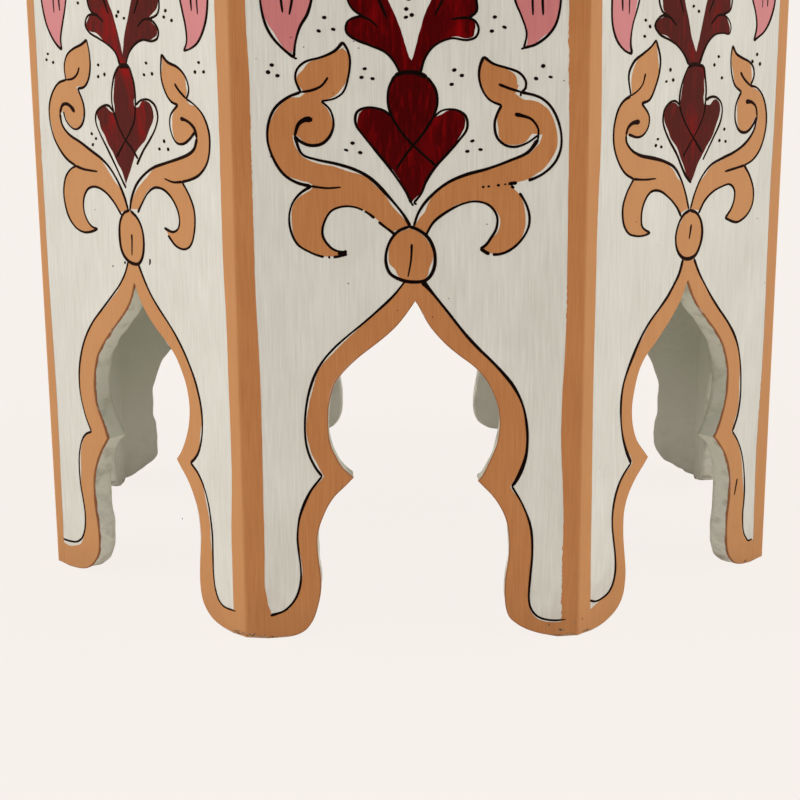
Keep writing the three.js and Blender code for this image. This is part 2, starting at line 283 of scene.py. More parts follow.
    "specks": [(18.2, 172.5), (-6.4, 166.9), (-29.7, 180), (10.3, 163.6), (36, 208), (-35.5, 269.2),
               (-25.7, 292.6), (-23.5, 289.5), (-48.7, 290.1), (-54.4, 294.5), (-65.1, 240), (71.2, 274.5)],
    "dry": [(-22, 214.5, 5), (-15, 210, 4), (-39, 192.8, 3.2), (40, 226.3, 6), (51, 228, 5),
            (37, 194, 2.5)],
}

FRONT_LEFT = {
    "arch": [
        [(-72, 0), (-65, 0.6), (-58, 1.9), (-52, 4.5), (-46.5, 9), (-42.7, 14.5), (-41.4, 21), (-41.4, 27),
         (-42, 33), (-43.1, 38), (-43.9, 44.7), (-43.7, 51.6), (-43, 58.6), (-40.4, 65.9), (-36, 73.6),
         (-28.8, 82.5)],
        [(-28.8, 82.5), (-31.8, 89.5), (-34.8, 94.3), (-37.5, 100), (-38.6, 106.3), (-38.5, 113),
         (-37.2, 119), (-34.6, 126.2), (-29.3, 133.5), (-21.6, 141.3), (-13.3, 149), (-6, 156.3),
         (-1.5, 162.9), (1.3, 170.2)],
        [(1.3, 170.2), (4.6, 163.5), (8.4, 158), (13.6, 152.6), (20.2, 147.4), (27, 142.5), (32.9, 137.2),
         (36.9, 131.4), (39.9, 125.8), (41.8, 120), (42.8, 113.5), (42.5, 107.6), (41.1, 101.2),
         (38.3, 94.4), (34.4, 87.6), (30.6, 83.2)],
        [(30.6, 83.2), (34, 79.4), (37.9, 75.4), (41.8, 70), (44.9, 64), (46.9, 58), (47.8, 52),
         (48.1, 45.5), (47.7, 39), (46.9, 32), (46.4, 26), (46.5, 18.5), (48, 11.5), (51, 7), (56, 3.2),
         (63, 1.1), (72, 0)],
    ],
    "border_left": [
        [(-3, 181), (-5.8, 175.1), (-11.2, 168.2), (-19.1, 160.9), (-27.5, 153.5), (-36.2, 145.8),
         (-42.5, 138.5), (-47, 131.3), (-50, 124.2), (-51.8, 117.4), (-52.5, 110.6), (-52.2, 104),
         (-50.6, 97.6), (-48, 91), (-43.5, 83.7)],
        [(-43.5, 83.7), (-49, 81.3), (-53, 77), (-56, 69.5), (-57, 61), (-56.5, 51), (-54.8, 43),
         (-53.6, 34.5), (-54.7, 26), (-58, 20), (-63.5, 16.5), (-70, 15.3), (-76.5, 15)],
    ],
    "border_right": [
        [(5.5, 181), (7.9, 176.7), (11.5, 171), (15.8, 165.4), (21.3, 160), (27.3, 154.7), (33, 149.4),
         (37.9, 143.9), (42, 138.4), (45.5, 132.9), (48.5, 127.3), (50.8, 121.3), (52.4, 115.6),
         (53.2, 109), (53, 103), (51.9, 97.1), (49.5, 90.8), (46.3, 86.7), (42.6, 83.6)],
        [(42.6, 83.6), (48, 79.5), (52.1, 74), (55.5, 66), (57.3, 57), (58.2, 49), (58.1, 39), (58.1, 28),
         (59.3, 20), (61.8, 15), (65.8, 12.6), (75, 12.6)],
    ],
    "bud": [(0, 207.5), (-5, 205.5), (-8.5, 200.5), (-9.3, 193), (-8, 186), (-4, 182), (1, 180.5), (6, 181),
            (9.5, 185), (11, 192), (10, 199), (6.5, 204), (1, 207.3)],
    "bud_vein": [(1.2, 195.5), (1, 190), (0.5, 184.5)],
    "scrolls": [
        {
            "stem": [(-1, 207.4), (-3.8, 214), (-8.5, 221), (-15, 227.5), (-22, 231.8), (-30, 235),
                     (-40, 239), (-50, 242.5), (-55.7, 247), (-57.3, 253)],
            "eye": [(-57.3, 253), (-54.5, 257.3), (-50, 258), (-46.5, 256.5), (-43.8, 254.3)],
            "curl": [(-54, 254), (-52, 249.5), (-47.5, 246.2), (-43, 245.5), (-38, 248), (-35.3, 253),
                     (-35.7, 259), (-40, 266.3)],
            "leaf_front": [(-40, 266.3), (-34, 267.5), (-30, 271.5), (-28, 278), (-28.3, 285), (-30, 291)],
            "leaf_back": [(-30, 291), (-35, 288.5), (-42, 286.3), (-48, 283), (-51, 277.5), (-50.3, 270.3)],
            "vein": [(-37.7, 277), (-40, 273.5), (-44, 271.2), (-50.3, 270.3)],
            "back": [(-50.3, 270.3), (-57, 268.5), (-62.5, 264), (-66.5, 257), (-67, 249), (-64.5, 241),
                     (-59.5, 234.5), (-53, 229.5), (-45, 226.4)],
            "tail": [(-45, 226.4), (-38, 225.3), (-26, 225)],
            "hook_back": [(-45, 226.4), (-50, 224.5), (-55, 220), (-57.5, 213), (-57, 206), (-54, 199),
                          (-48, 194), (-41, 192.3), (-34, 193.3), (-28.5, 195.3)],
            "hook_front": [(-7, 204.5), (-13, 210.5), (-20, 215), (-28, 217), (-35, 215.5), (-39.3, 210.5),
                           (-40, 204), (-37.5, 199), (-33.5, 196), (-28.5, 195.3)],
        },
        {
            "stem": [(0.4, 207.4), (2.2, 213.5), (6.5, 220.5), (13, 226), (21, 230.3), (30, 233),
                     (42, 236.3), (50, 239), (54.5, 242), (56.8, 247)],
            "eye": [(56.8, 247), (55, 251.5), (51.5, 254), (48, 255.2), (44.5, 255.7)],
            "curl": [(55.5, 250), (51, 246.2), (46, 243.7), (41, 243.8), (37.7, 247), (36, 252), (37, 257),
                     (43, 262)],
            "leaf_front": [(43, 262), (38, 263.3), (34, 267), (31, 273), (30.5, 278), (31.5, 285.5)],
            "leaf_back": [(31.5, 285.5), (36, 282), (43, 280), (48, 277), (51, 273), (51.7, 269),
                          (49.7, 265.2)],
            "vein": [(41, 272), (44, 269), (49.7, 265.2)],
            "back": [(49.7, 265.2), (56, 262.5), (62, 258), (65.8, 251), (66.3, 244), (64, 236), (58, 230),
                     (51, 227), (44, 225.3)],
            "tail": [(44, 225.3), (37, 224.6), (30, 225.8)],
            "hook_back": [(44, 225.3), (49, 219.5), (52.5, 213), (53, 206), (51, 198), (48, 194),
                          (43, 192.3), (37, 193.5), (31.3, 198)],
            "hook_front": [(7, 207), (11, 212), (16, 217.5), (22, 220.7), (29, 220.3), (35, 217),
                           (39.5, 211.5), (41, 206), (39.5, 202), (35, 200), (28.5, 201.3)],
        },
    ],
    "palmette": {
        "cap": [(-3.5, 278.7), (1, 279.2), (5, 278.7)],
        "core_left": [(-3.5, 278.7), (-7.5, 274.5), (-10.3, 267), (-10.8, 260.5), (-9.5, 256)],
        "core_right": [(5, 278.7), (8, 272), (9, 266), (8.8, 260.3)],
        "tail_left": [(-9.5, 256), (-6, 249), (-1, 243), (4, 239), (9, 234)],
        "tail_right": [(8.8, 260.3), (7.5, 253), (3, 246.5), (-3, 240), (-9, 233.5)],
        "lobe_left": [(-9.5, 256), (-14, 259), (-20, 258), (-24.5, 255), (-25.5, 250.5), (-23, 245.5),
                      (-17, 238), (-10, 229), (-4, 221), (-2, 218.5)],
        "lobe_right": [(8.8, 260.3), (14, 263), (20, 263.3), (25, 260.5), (26.7, 255.5), (24.5, 250),
                       (20, 244.5), (14, 238.5), (8, 231)],
    },
    "leaves": [
        {
            "lower": [(-2.4, 279), (-5.5, 285), (-12, 289), (-20, 292), (-27, 294.5), (-30.5, 298),
                      (-29, 302), (-25, 303.6), (-19, 303)],
            "upper": [(-19, 303), (-25, 305), (-27.5, 309), (-28, 315), (-25, 319.5), (-19, 321.5),
                      (-14, 325)],
            "inner": [(-14, 325), (-12.8, 319), (-10.5, 311), (-7, 304), (-3, 294), (0, 284)],
            "veins": [[(-25, 303.5), (-20, 303), (-15, 300)], [(-17, 317), (-14, 311), (-10.5, 304)]],
        },
        {
            "lower": [(2, 279), (5.5, 285.6), (11, 290), (17, 292), (24, 291.5), (28.8, 293), (29.8, 296.5),
                      (27, 300), (23, 302)],
            "upper": [(23, 302), (29, 304), (31, 307), (30.8, 312), (27.5, 318), (20, 321), (14.5, 325)],
            "inner": [(14.5, 325), (12, 318), (9, 311), (6, 303), (2, 293), (0, 284)],
            "veins": [[(24, 302), (18, 301.5), (13, 298)], [(17.5, 316), (14, 310), (10.5, 304)]],
        },
    ],
    "petals": [
        {
            "outer": [(-52.5, 285.5), (-57, 288), (-62, 293), (-66, 300), (-68.7, 311), (-69.3, 328.2)],
            "inner": [(-52.5, 285.5), (-53, 291), (-50.5, 299), (-47.5, 307), (-45.5, 316), (-45, 328.2)],
            "veins": [[(-57.7, 304), (-58, 312), (-58, 324)], [(-52.5, 305), (-53, 312), (-53, 324)]],
        },
        {
            "outer": [(49, 287.5), (54, 288.7), (59.5, 291.5), (64, 297), (67, 304), (68.3, 313),
                      (68.5, 328.2)],
            "inner": [(49, 287.5), (51.5, 292), (51, 299), (49, 306), (47, 314), (46.5, 328.2)],
            "veins": [[(60.5, 304.5), (60, 312), (60.3, 324)], [(56, 306), (55.5, 313), (55.5, 323)]],
        },
    ],
    "dots": [(-36, 309), (-2, 305), (-3.5, 303), (2.5, 302), (36, 306), (34.5, 303), (40.5, 301.5),
             (-65.5, 283), (-67, 280), (-61, 278.8), (-21, 278.8), (-21.5, 273), (-16, 274.3), (19, 281),
             (17, 275.3), (23.5, 276), (60, 282.5), (57, 278), (63.5, 278.3), (-29.5, 244), (-29, 238.5),
             (-26, 241.8), (31, 244), (27, 240), (34, 240.3)],
    "marks": [[(15.5, 184.5), (15.6, 183), (15, 181.3)], [(-6.5, 180), (-5.8, 180.2), (-5, 180.3)],
              [(-16.8, 177), (-16.4, 177.2), (-16, 177.3)]],
    "missed": [(27.5, 306, 5, 2), (27, 294.5, 4, 1.3), (-29.5, 301.5, 3, 1), (-22, 292.5, 5, 1.1),
               (-10.3, 266, 8, 1.2), (-24.5, 250, 5, 1), (-13, 258, 3, 1), (25, 258, 7, 2.4),
               (23, 247, 8, 2.4), (12, 236, 8, 1.4), (10.5, 261, 3, 1.4), (-28.3, 282, 5, 0.8),
               (-41, 266, 3, 1), (-35.7, 251, 4, 0.9), (51.3, 271, 4, 1.2), (31.3, 280, 4, 0.7),
               (53, 264, 3, 0.9), (36.5, 253, 6, 1), (49, 287.5, 3, 0.8), (-52.5, 285.5, 3, 0.8),
               (56, 61, 10, 0.8), (57, 46, 8, 0.8), (51, 99, 7, 0.7), (-25, 250, 3, 1.2),
               (-21, 242, 6, 1.8), (-14, 233.5, 6, 2), (-8, 225.5, 6, 1.9), (10, 233, 8, 1.4),
               (5, 224, 8, 1.4), (-70, 15.3, 8, 1.7), (-60, 17.5, 4, 1.1), (-57, 62, 8, 1),
               (-25, 156, 10, 0.8)],
    "border_widths": [(1.6, 1.3, 1.5), (1.5, 1.25, 1.3), (1.7, 1.45, 1.6), (1.6, 1.3, 0.6)],
    "turn_up": [],
    "chips": [(76, 2, 3.2, 0.8), (80.5, 2.3, 1.6, 0.8)],
    "specks": [(-16.4, 177), (34, 52), (-30, 205)],
    "dry": [(12, 229, 3)],
}

FRONT_RIGHT = {
    "arch": [
        [(-72, 0), (-66, 0.4), (-60, 1.6), (-53, 4.4), (-48.5, 7.9), (-45.6, 12.7), (-44.3, 19.5),
         (-44.2, 25.5), (-44.9, 31), (-45.9, 37.5), (-46.8, 44), (-47.1, 50.5), (-46.8, 57), (-45, 63),
         (-41.8, 68.5), (-37.1, 73.9), (-32, 78.4), (-27.8, 82.4)],
        [(-27.8, 82.4), (-31.5, 86.2), (-37.6, 93), (-40.9, 99.9), (-42.4, 106.5), (-42.5, 112.8),
         (-41.3, 118.7), (-39.6, 124.6), (-36.8, 130.6), (-32.3, 135.9), (-25.6, 140.8), (-19.1, 146.1),
         (-13, 151.4), (-7.6, 156.8), (-3.2, 162.4), (1, 170)],
        [(1, 170), (6.1, 161.2), (12.3, 154), (20, 146.8), (28.6, 139), (34.7, 131.6), (38.3, 124.4),
         (40.5, 117.4), (41, 110.7), (40.5, 104.2), (39.1, 97.8), (36.8, 91.5), (33.8, 85.6), (30.5, 81.3)],
        [(30.5, 81.3), (34.6, 77.4), (40.6, 70.6), (44.8, 62.9), (46.9, 55.7), (47.5, 48.8), (47.1, 41.9),
         (46.1, 35.3), (45.7, 28.4), (46.1, 21.4), (47.3, 13.5), (50.5, 7.6), (56, 3.2), (63, 1), (72, 0)],
    ],
    "border_left": [
        [(-4, 182), (-6.8, 175), (-11, 169.7), (-16.2, 164.2), (-22.8, 159), (-29.7, 153.9), (-35.4, 148.5),
         (-39.8, 143.1), (-43.6, 137.6), (-47.1, 132), (-50, 126.4), (-51.7, 120.5), (-52.3, 114.5),
         (-52.1, 108.3), (-51.2, 101.9), (-49.4, 95.4), (-46.5, 88.7), (-42.6, 82.3)],
        [(-42.6, 82.3), (-49.4, 76.6), (-53.3, 71.1), (-55.6, 65.2), (-56.8, 59), (-56.8, 52.8),
         (-55.8, 46.3), (-54.4, 39.5), (-53.4, 32.8), (-53.4, 26.4), (-55.2, 20.5), (-58.8, 16.8),
         (-64, 15.2), (-69, 15), (-73.5, 16.8)],
    ],
    "border_right": [
        [(5.5, 181), (10.4, 173.2), (16.1, 166.2), (22.3, 159), (29.6, 151.6), (37.6, 144), (44.2, 136.5),
         (48.6, 129.3), (51.1, 122.3), (52.6, 115.4), (53.3, 108.6), (53.6, 101.9), (53, 95.2),
         (51.3, 88.7), (47.3, 81.3)],
        [(47.3, 81.3), (52.7, 75), (57.2, 67), (60.2, 57), (61.6, 46), (61.6, 38.6), (61, 31.8),
         (61.6, 24.6), (63, 19.5), (65.2, 16.2), (67.7, 13.8), (71.5, 13.7)],
    ],
    "bud": [(1, 206.5), (-5, 204.5), (-9, 200), (-11, 194), (-9.5, 187.5), (-5, 183), (1, 181.5), (7, 183),
            (11, 189), (11.8, 195), (10, 200.5), (6, 204.5), (0, 206.5)],
    "bud_vein": [(2, 199), (1.3, 195), (0.5, 191.5)],
    "scrolls": [
        {
            "stem": [(-0.6, 207), (-3.8, 215), (-8, 222.5), (-14, 229), (-22, 232.5), (-32, 235),
                     (-42, 237), (-49, 240), (-53.3, 244), (-54, 247.5)],
            "eye": [(-54, 247.5), (-52.5, 251), (-49, 253), (-43.5, 253.3)],
            "curl": [(-52, 247.8), (-45, 246), (-40, 247), (-36.3, 251), (-36.3, 256), (-42.3, 262)],
            "leaf_front": [(-42.3, 262), (-36, 263.5), (-32, 269), (-29, 276), (-28.5, 283),
                           (-32.3, 291.5)],
            "leaf_back": [(-32.3, 291.5), (-36, 288.5), (-42, 285.5), (-49, 282), (-53, 276), (-51, 266)],
            "vein": [(-40, 276), (-42, 271), (-46, 268), (-51, 266)],
            "back": [(-51, 266), (-57, 263.5), (-61, 259), (-63.5, 251), (-63, 243), (-59.5, 235.5),
                     (-54, 229.5), (-47, 226)],
            "tail": [(-47, 226), (-38, 225), (-29, 224.8)],
            "hook_back": [(-47, 226), (-52, 220), (-55, 213), (-54, 205), (-50, 200), (-44, 198),
                          (-38, 197.5), (-32.5, 198.3)],
            "hook_front": [(-7, 204), (-11, 209), (-18, 214.5), (-26, 218.5), (-33, 218.5), (-38, 214),
                           (-40, 208), (-39, 202), (-32.5, 198.3)],
        },
        {
            "stem": [(0.8, 207), (3.8, 214), (9, 221.7), (17, 227.7), (27, 230.5), (38, 233), (48, 237),
                     (55, 243), (57.5, 250)],
            "eye": [(57.5, 250), (56, 255), (52, 257.7), (46.5, 258.3)],
            "curl": [(57.5, 250), (53, 245), (48, 242.5), (42, 243.5), (38, 248), (37, 253), (38, 258),
                     (42, 263.5)],
            "leaf_front": [(42, 263.5), (36, 267), (33, 272), (31.5, 278), (31.5, 283), (32.5, 287)],
            "leaf_back": [(32.5, 287), (36, 283), (42, 280.5), (48, 278.5), (52, 275.5), (53, 271),
                          (50, 266.2)],
            "vein": [(40.5, 273.5), (44, 270), (50, 266.2)],
            "back": [(50, 266.2), (56, 265), (61.5, 261), (65, 255), (66.5, 247), (65, 239), (61, 232),
                     (55, 227.5), (47.5, 225.3)],
            "tail": [(47.5, 225.3), (40, 224.5), (30, 223.5)],
            "hook_back": [(47.5, 225.3), (53, 219.5), (57, 212), (57, 205), (53.5, 200), (48, 197),
                          (42, 196), (32, 199.2)],
            "hook_front": [(8, 204), (13, 210), (20, 214), (28, 216), (35, 216.5), (39.5, 213), (39.5, 208),
                           (37, 203.5), (32, 199.2)],
        },
    ],
    "palmette": {
        "cap": [(-5, 278), (0, 279), (8, 277.5)],
        "core_left": [(-5, 278), (-9, 272), (-11.5, 265), (-11.5, 259.5)],
        "core_right": [(8, 277.5), (9.7, 271), (10.7, 265.5), (10.5, 260.7)],
        "tail_left": [(-11.5, 259.5), (-8, 253), (-3, 247), (3, 241), (9, 235)],
        "tail_right": [(10.5, 260.7), (9.5, 254), (5, 247), (-1, 240.5), (-7, 234)],
        "lobe_left": [(-11.5, 259.5), (-15, 261.7), (-20, 261), (-24, 257.5), (-24.5, 251.5), (-20, 244),
                      (-12.5, 235.5), (-5, 225), (0.5, 220.3)],
        "lobe_right": [(10.5, 260.7), (15, 262.2), (20, 261.7), (24, 259), (25.5, 255), (24, 249),
                       (18, 241), (10, 231)],
    },
    "leaves": [
        {
            "lower": [(-5, 279), (-9, 284), (-15, 288.5), (-22, 291.5), (-29, 294), (-33.5, 298.3),
                      (-31, 301.5), (-27, 303), (-22, 302.3)],
            "upper": [(-22, 302.3), (-28, 305), (-30.7, 310), (-30, 316), (-26, 320), (-19, 321.5),
                      (-14, 325)],
            "inner": [(-14, 325), (-12.5, 318), (-10, 310), (-7, 303), (-3, 293), (1, 285)],
            "veins": [[(-27, 303), (-22, 302.3), (-16, 298)], [(-17, 317), (-14, 311), (-10.5, 304)]],
        },
        {
            "lower": [(4, 279), (7, 284.5), (11, 289.5), (17, 293), (24, 293.5), (29, 293), (30.3, 296.5),
                      (27.5, 300.5), (23, 302.7)],
            "upper": [(23, 302.7), (29, 304.7), (30.5, 310), (29.5, 316), (25, 320), (19.5, 321.3),
                      (14.5, 325)],
            "inner": [(14.5, 325), (12, 318), (9, 310), (6, 301), (3, 292), (1, 285)],
            "veins": [[(24, 302.7), (18, 302), (13, 298)], [(17.5, 316), (14.5, 310), (11, 304)]],
        },
    ],
    "petals": [
        {
            "outer": [(-51, 285.5), (-57, 287.5), (-63, 292.5), (-66.5, 300), (-67.2, 311), (-67.3, 328.2)],
            "inner": [(-51, 285.5), (-52.3, 291), (-51, 299), (-47.5, 307), (-45, 316), (-44.5, 328.2)],
            "veins": [[(-59, 305.5), (-59.4, 312), (-59, 324)], [(-54, 304), (-54, 312), (-54, 324)]],
        },
        {
            "outer": [(51.5, 289), (56, 291), (60.5, 293.3), (65, 298), (68.8, 306), (70, 315),
                      (70, 328.2)],
            "inner": [(51.5, 289), (53.5, 296), (52, 303), (48.5, 310.5), (47, 319), (46.5, 328.2)],
            "veins": [[(58, 305.5), (58, 312), (58, 324)], [(62.5, 306), (62.7, 312), (62.5, 324)]],
        },
    ],
    "dots": [(-2.5, 307), (2, 304.5), (-41, 301), (-37.5, 298), (-41.5, 293.5), (-20, 277), (-23, 271.5),
             (-17.5, 272), (20.5, 282), (17, 278), (24, 271.3), (55, 282), (51, 278.5), (58, 277),
             (-28.5, 244), (-30, 241), (-25.5, 240), (28, 245.3), (24, 239.8), (29.5, 239)],
    "marks": [[(54, 53), (52.8, 48), (51.8, 44)], [(-79.6, 8.7), (-79, 8.5)]],
    "missed": [(-29.5, 310, 5, 2.3), (-24, 293, 5, 1), (29.5, 310, 5, 1), (29.5, 298, 4, 0.8),
               (-10.5, 263, 8, 0.9), (9.7, 269, 4, 1.1), (-24, 252, 5, 0.7), (13.5, 261.7, 4, 2.4),
               (24.7, 254, 8, 1.3), (-53, 277, 8, 1.5), (-29, 283, 6, 1), (-49, 267, 3, 0.8),
               (52.5, 273, 6, 1.6), (32, 273, 5, 0.7), (37.5, 251, 7, 1.2), (55, 247, 5, 1),
               (-46, 312, 8, 0.8), (-51, 285.5, 3, 1.2), (51.5, 289, 3, 1.2), (-74, 15.5, 4.5, 4.4),
               (53, 106, 8, 0.8), (50, 88, 6, 0.8), (-33, 151, 8, 0.6), (-22, 246, 5, 1.1),
               (-15, 237.5, 6, 1.3), (-8, 228.5, 6, 1.3), (22, 246, 6, 1.4), (15, 236, 6, 1.4),
               (8, 228, 6, 1.4), (-44, 84, 6, 0.8), (62, 55, 12, 0.8)],
    "border_widths": [(1.7, 1.9, 1.9), (1.7, 1.45, 1.8), (1.9, 1.65, 1.5), (1.5, 1.3, 1.4)],
    "turn_up": [],
    "chips": [(-77, 1.8, 2.4, 0.6), (66, 2.2, 2, 0.6)],
    "specks": [(62, 196), (-44, 205)],
    "dry": [],
}

# The ornament comes twice in a side's height, the upper one turned over about this level
MIRROR_LEVEL = 328.2
LOZENGE = [(0, 335), (3.2, 330.5), (7.2, 328.2), (3.4, 325.6), (0.2, 321.4), (-3.4, 325.8), (-7, 328.3),
           (-3.1, 330.8), (0, 335)]
HEADER_BOTTOM = 473.6
HEADER_LINE = [(u, HEADER_BOTTOM + rise) for u, rise in ((-74, 0), (-30, 0.3), (20, -0.3), (74, 0))]
PALMETTE_TOP = 285

# How far the tan bands reach from a corner, by height, on the side to its left and to its right
BAND_RIMS = {
    7: (
        [(0, 9.4), (48, 9.4), (90, 7.5), (150, 8), (200, 9.3), (250, 9.1), (310, 9.8), (484, 8.8)],
        [(0, 13.5), (13, 12.6), (19, 10.9), (28, 9.7), (50, 10.1), (120, 10.3), (190, 8.9), (270, 8.8),
         (310, 7.7), (484, 8.6)],
    ),
    0: (
        [(0, 8.3), (60, 8.1), (110, 10), (165, 8.4), (250, 8.7), (300, 9.8), (484, 9.2)],
        [(0, 9.9), (60, 8.9), (130, 8.1), (200, 8.3), (250, 9.7), (310, 8.4), (484, 8.8)],
    ),
    1: (
        [(0, 9.7), (60, 11), (130, 8.9), (205, 9.5), (250, 8.5), (484, 8.6)],
        [(0, 9), (160, 8.4), (320, 9), (484, 8.6)],
    ),
    6: (
        [(0, 8.8), (160, 8.2), (330, 8.9), (484, 8.6)],
        [(0, 6.4), (95, 7.5), (175, 6.3), (230, 6), (300, 6.8), (484, 7)],
    ),
}
USUAL_BAND_RIMS = (
    [(0, 9), (150, 8.2), (320, 8.9), (484, 8.5)],
    [(0, 8.7), (180, 9.1), (330, 8.3), (484, 8.7)],
)

# Heights where a rim came out ragged, how far up and down and how much, by corner and side
RAGGED = {
    (7, 1): [(235, 26, 0.5), (120, 8, 0.3)],
    (7, -1): [(262, 10, 0.2)],
    (0, -1): [(20, 34, 1), (170, 10, 0.5), (285, 18, 0.6)],
    (0, 1): [(205, 12, 0.3)],
    (1, -1): [(90, 20, 0.5)],
    (6, 1): [(235, 12, 0.5), (150, 8, 0.3)],
}
USUAL_RAGGED = [(60, 20, 0.8), (230, 16, 0.5), (400, 20, 0.5)]

# Brush line widths at the start, in the middle and at the end of a stroke
LINE = (1.9, 1.4, 1.8)
STEM_LINE = (1.7, 1.7, 2.3)
BUD_LINE = (2.2, 2, 2)
CAP_LINE = (2.7, 2.4, 2.3)
VEIN_LINE = (2, 1.35, 0.8)
PETAL_VEIN_LINE = (0.8, 1.4, 2)
EYE_LINE = (1.8, 2, 3.8)
DOT_LINE = (2.2, 2.7, 2.1)
SPECK_LINE = (0.9, 1.2, 0.8)

# How the line brush behaves: a fuller stretch and a rounded tip at each end, slow changes of width,
# and dashes where it ran dry
LINE_STEP = 1.4
BLOB_REACH = 2
TIP_REACH = 0.25
BLUNT_END = 0.35
WIDTH_PERIOD = 16
WIDTH_CHANGE = 0.5
DASH_GAP = 0.18
DOT_REACH = 1.0
DOT_LEAN = 0.8
SPECK_REACH = 0.3

# A hand's wandering, each kind with its period in millimetres and its seed
SEED_STEP = 7.3
FAR = (45, 0)
NEAR = (14, 3.1)
EDGE = (15, 5.7)
FINE_EDGE = (3, 8.1)
DASHES = (1.6, 6)
LEAN = (3, 9)
CHIP_EDGE = (5, 12)

# How much of the nearer and finer kinds comes in, and how deep the missed spots are
NEAR_SHARE = 0.35
FINE_EDGE_SHARE = 0.25
MISSED = 1.3
RED_FIT = {"inset": 0.1, "roughness": 0.7}


# Small tools

def deselect():
    if bpy.context.object and bpy.context.object.mode != "OBJECT":
        bpy.ops.object.mode_set(mode="OBJECT")
    bpy.ops.object.select_all(action="DESELECT")


def choose(*pieces):
    deselect()
    for piece in pieces:
        piece.select_set(True)
    bpy.context.view_layer.objects.active = pieces[0]


def edit(piece):
    choose(piece)
    bpy.ops.object.mode_set(mode="EDIT")
    bpy.ops.mesh.select_all(action="SELECT")


def leave_edit():
    bpy.ops.object.mode_set(mode="OBJECT")


def rename(piece, name):
    piece.name = name
    piece.data.name = name


def copy_of(original, name):
    choose(original)
    bpy.ops.object.duplicate()
    piece = bpy.context.object
    rename(piece, name)
    return piece


def apply_modifier(piece, kind, **settings):
    choose(piece)
    bpy.ops.object.modifier_add(type=kind)
    modifier = piece.modifiers[-1]
    for name, value in settings.items():
        setattr(modifier, name, value)
    bpy.ops.object.modifier_apply(modifier=modifier.name)


def smooth_up_to(piece, degrees):
    choose(piece)
    bpy.ops.object.shade_smooth_by_angle(angle=math.radians(degrees))


def mark_place(piece, place_of):
    """Keeps each point's place in the grain or brushwork, as worked out from the point."""
    place = piece.data.attributes.new("place", "FLOAT_VECTOR", "POINT")
    for point, vertex in zip(place.data, piece.data.vertices):
        point.vector = place_of(vertex.co)


def place_on_side(k):
    """Each side has its own stretch of brushwork, which runs along its height."""
    return lambda point: point + Vector((k * SIDE_OFFSET, 0, 0))


def place_on_top(point):
    return point + Vector(TOP_OFFSET)


def put(piece, matrix):
    """Sets a piece in place and keeps its place in its mesh."""
    choose(piece)
    piece.matrix_world = matrix
    bpy.ops.object.transform_apply(location=True, rotation=True, scale=True)


def side_place(k):
    """From the flat of a painted side to side number k of the stool."""
    turn = Matrix.Rotation(k * SIDE_TURN, 4, "Z")
    move = Matrix.Translation((0, -APOTHEM * MM, 0))
    return turn @ move @ Matrix.Rotation(math.radians(90), 4, "X")


def finish_piece(piece, slot, *materials):
    for material in materials:
        piece.data.materials.append(material)
    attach(piece, "root")


def smooth_line(points, step=LINE_STEP):
    """Points about a step apart on a smooth line through the given ones."""
    gaps = [math.dist(a, b) for a, b in zip(points, points[1:])]
    slopes = []
    for i in range(len(points)):
        before, after = max(i - 1, 0), min(i + 1, len(points) - 1)
        reach = sum(gaps[before:after])
        slopes.append([(points[after][axis] - points[before][axis]) / reach for axis in (0, 1)])
    line = []
    for i, gap in enumerate(gaps):
        steps = max(1, round(gap / step))
        for n in range(steps):
            t = n / steps
            start, end = 2 * t**3 - 3 * t**2 + 1, 3 * t**2 - 2 * t**3
            leave, arrive = (t**3 - 2 * t**2 + t) * gap, (t**3 - t**2) * gap
            line.append(tuple(
                start * points[i][axis] + end * points[i + 1][axis]
                + leave * slopes[i][axis] + arrive * slopes[i + 1][axis]
                for axis in (0, 1)
            ))
    return line + [tuple(points[-1])]


def turned_over(points):
    return [(u, 2 * MIRROR_LEVEL - z) for u, z in points]


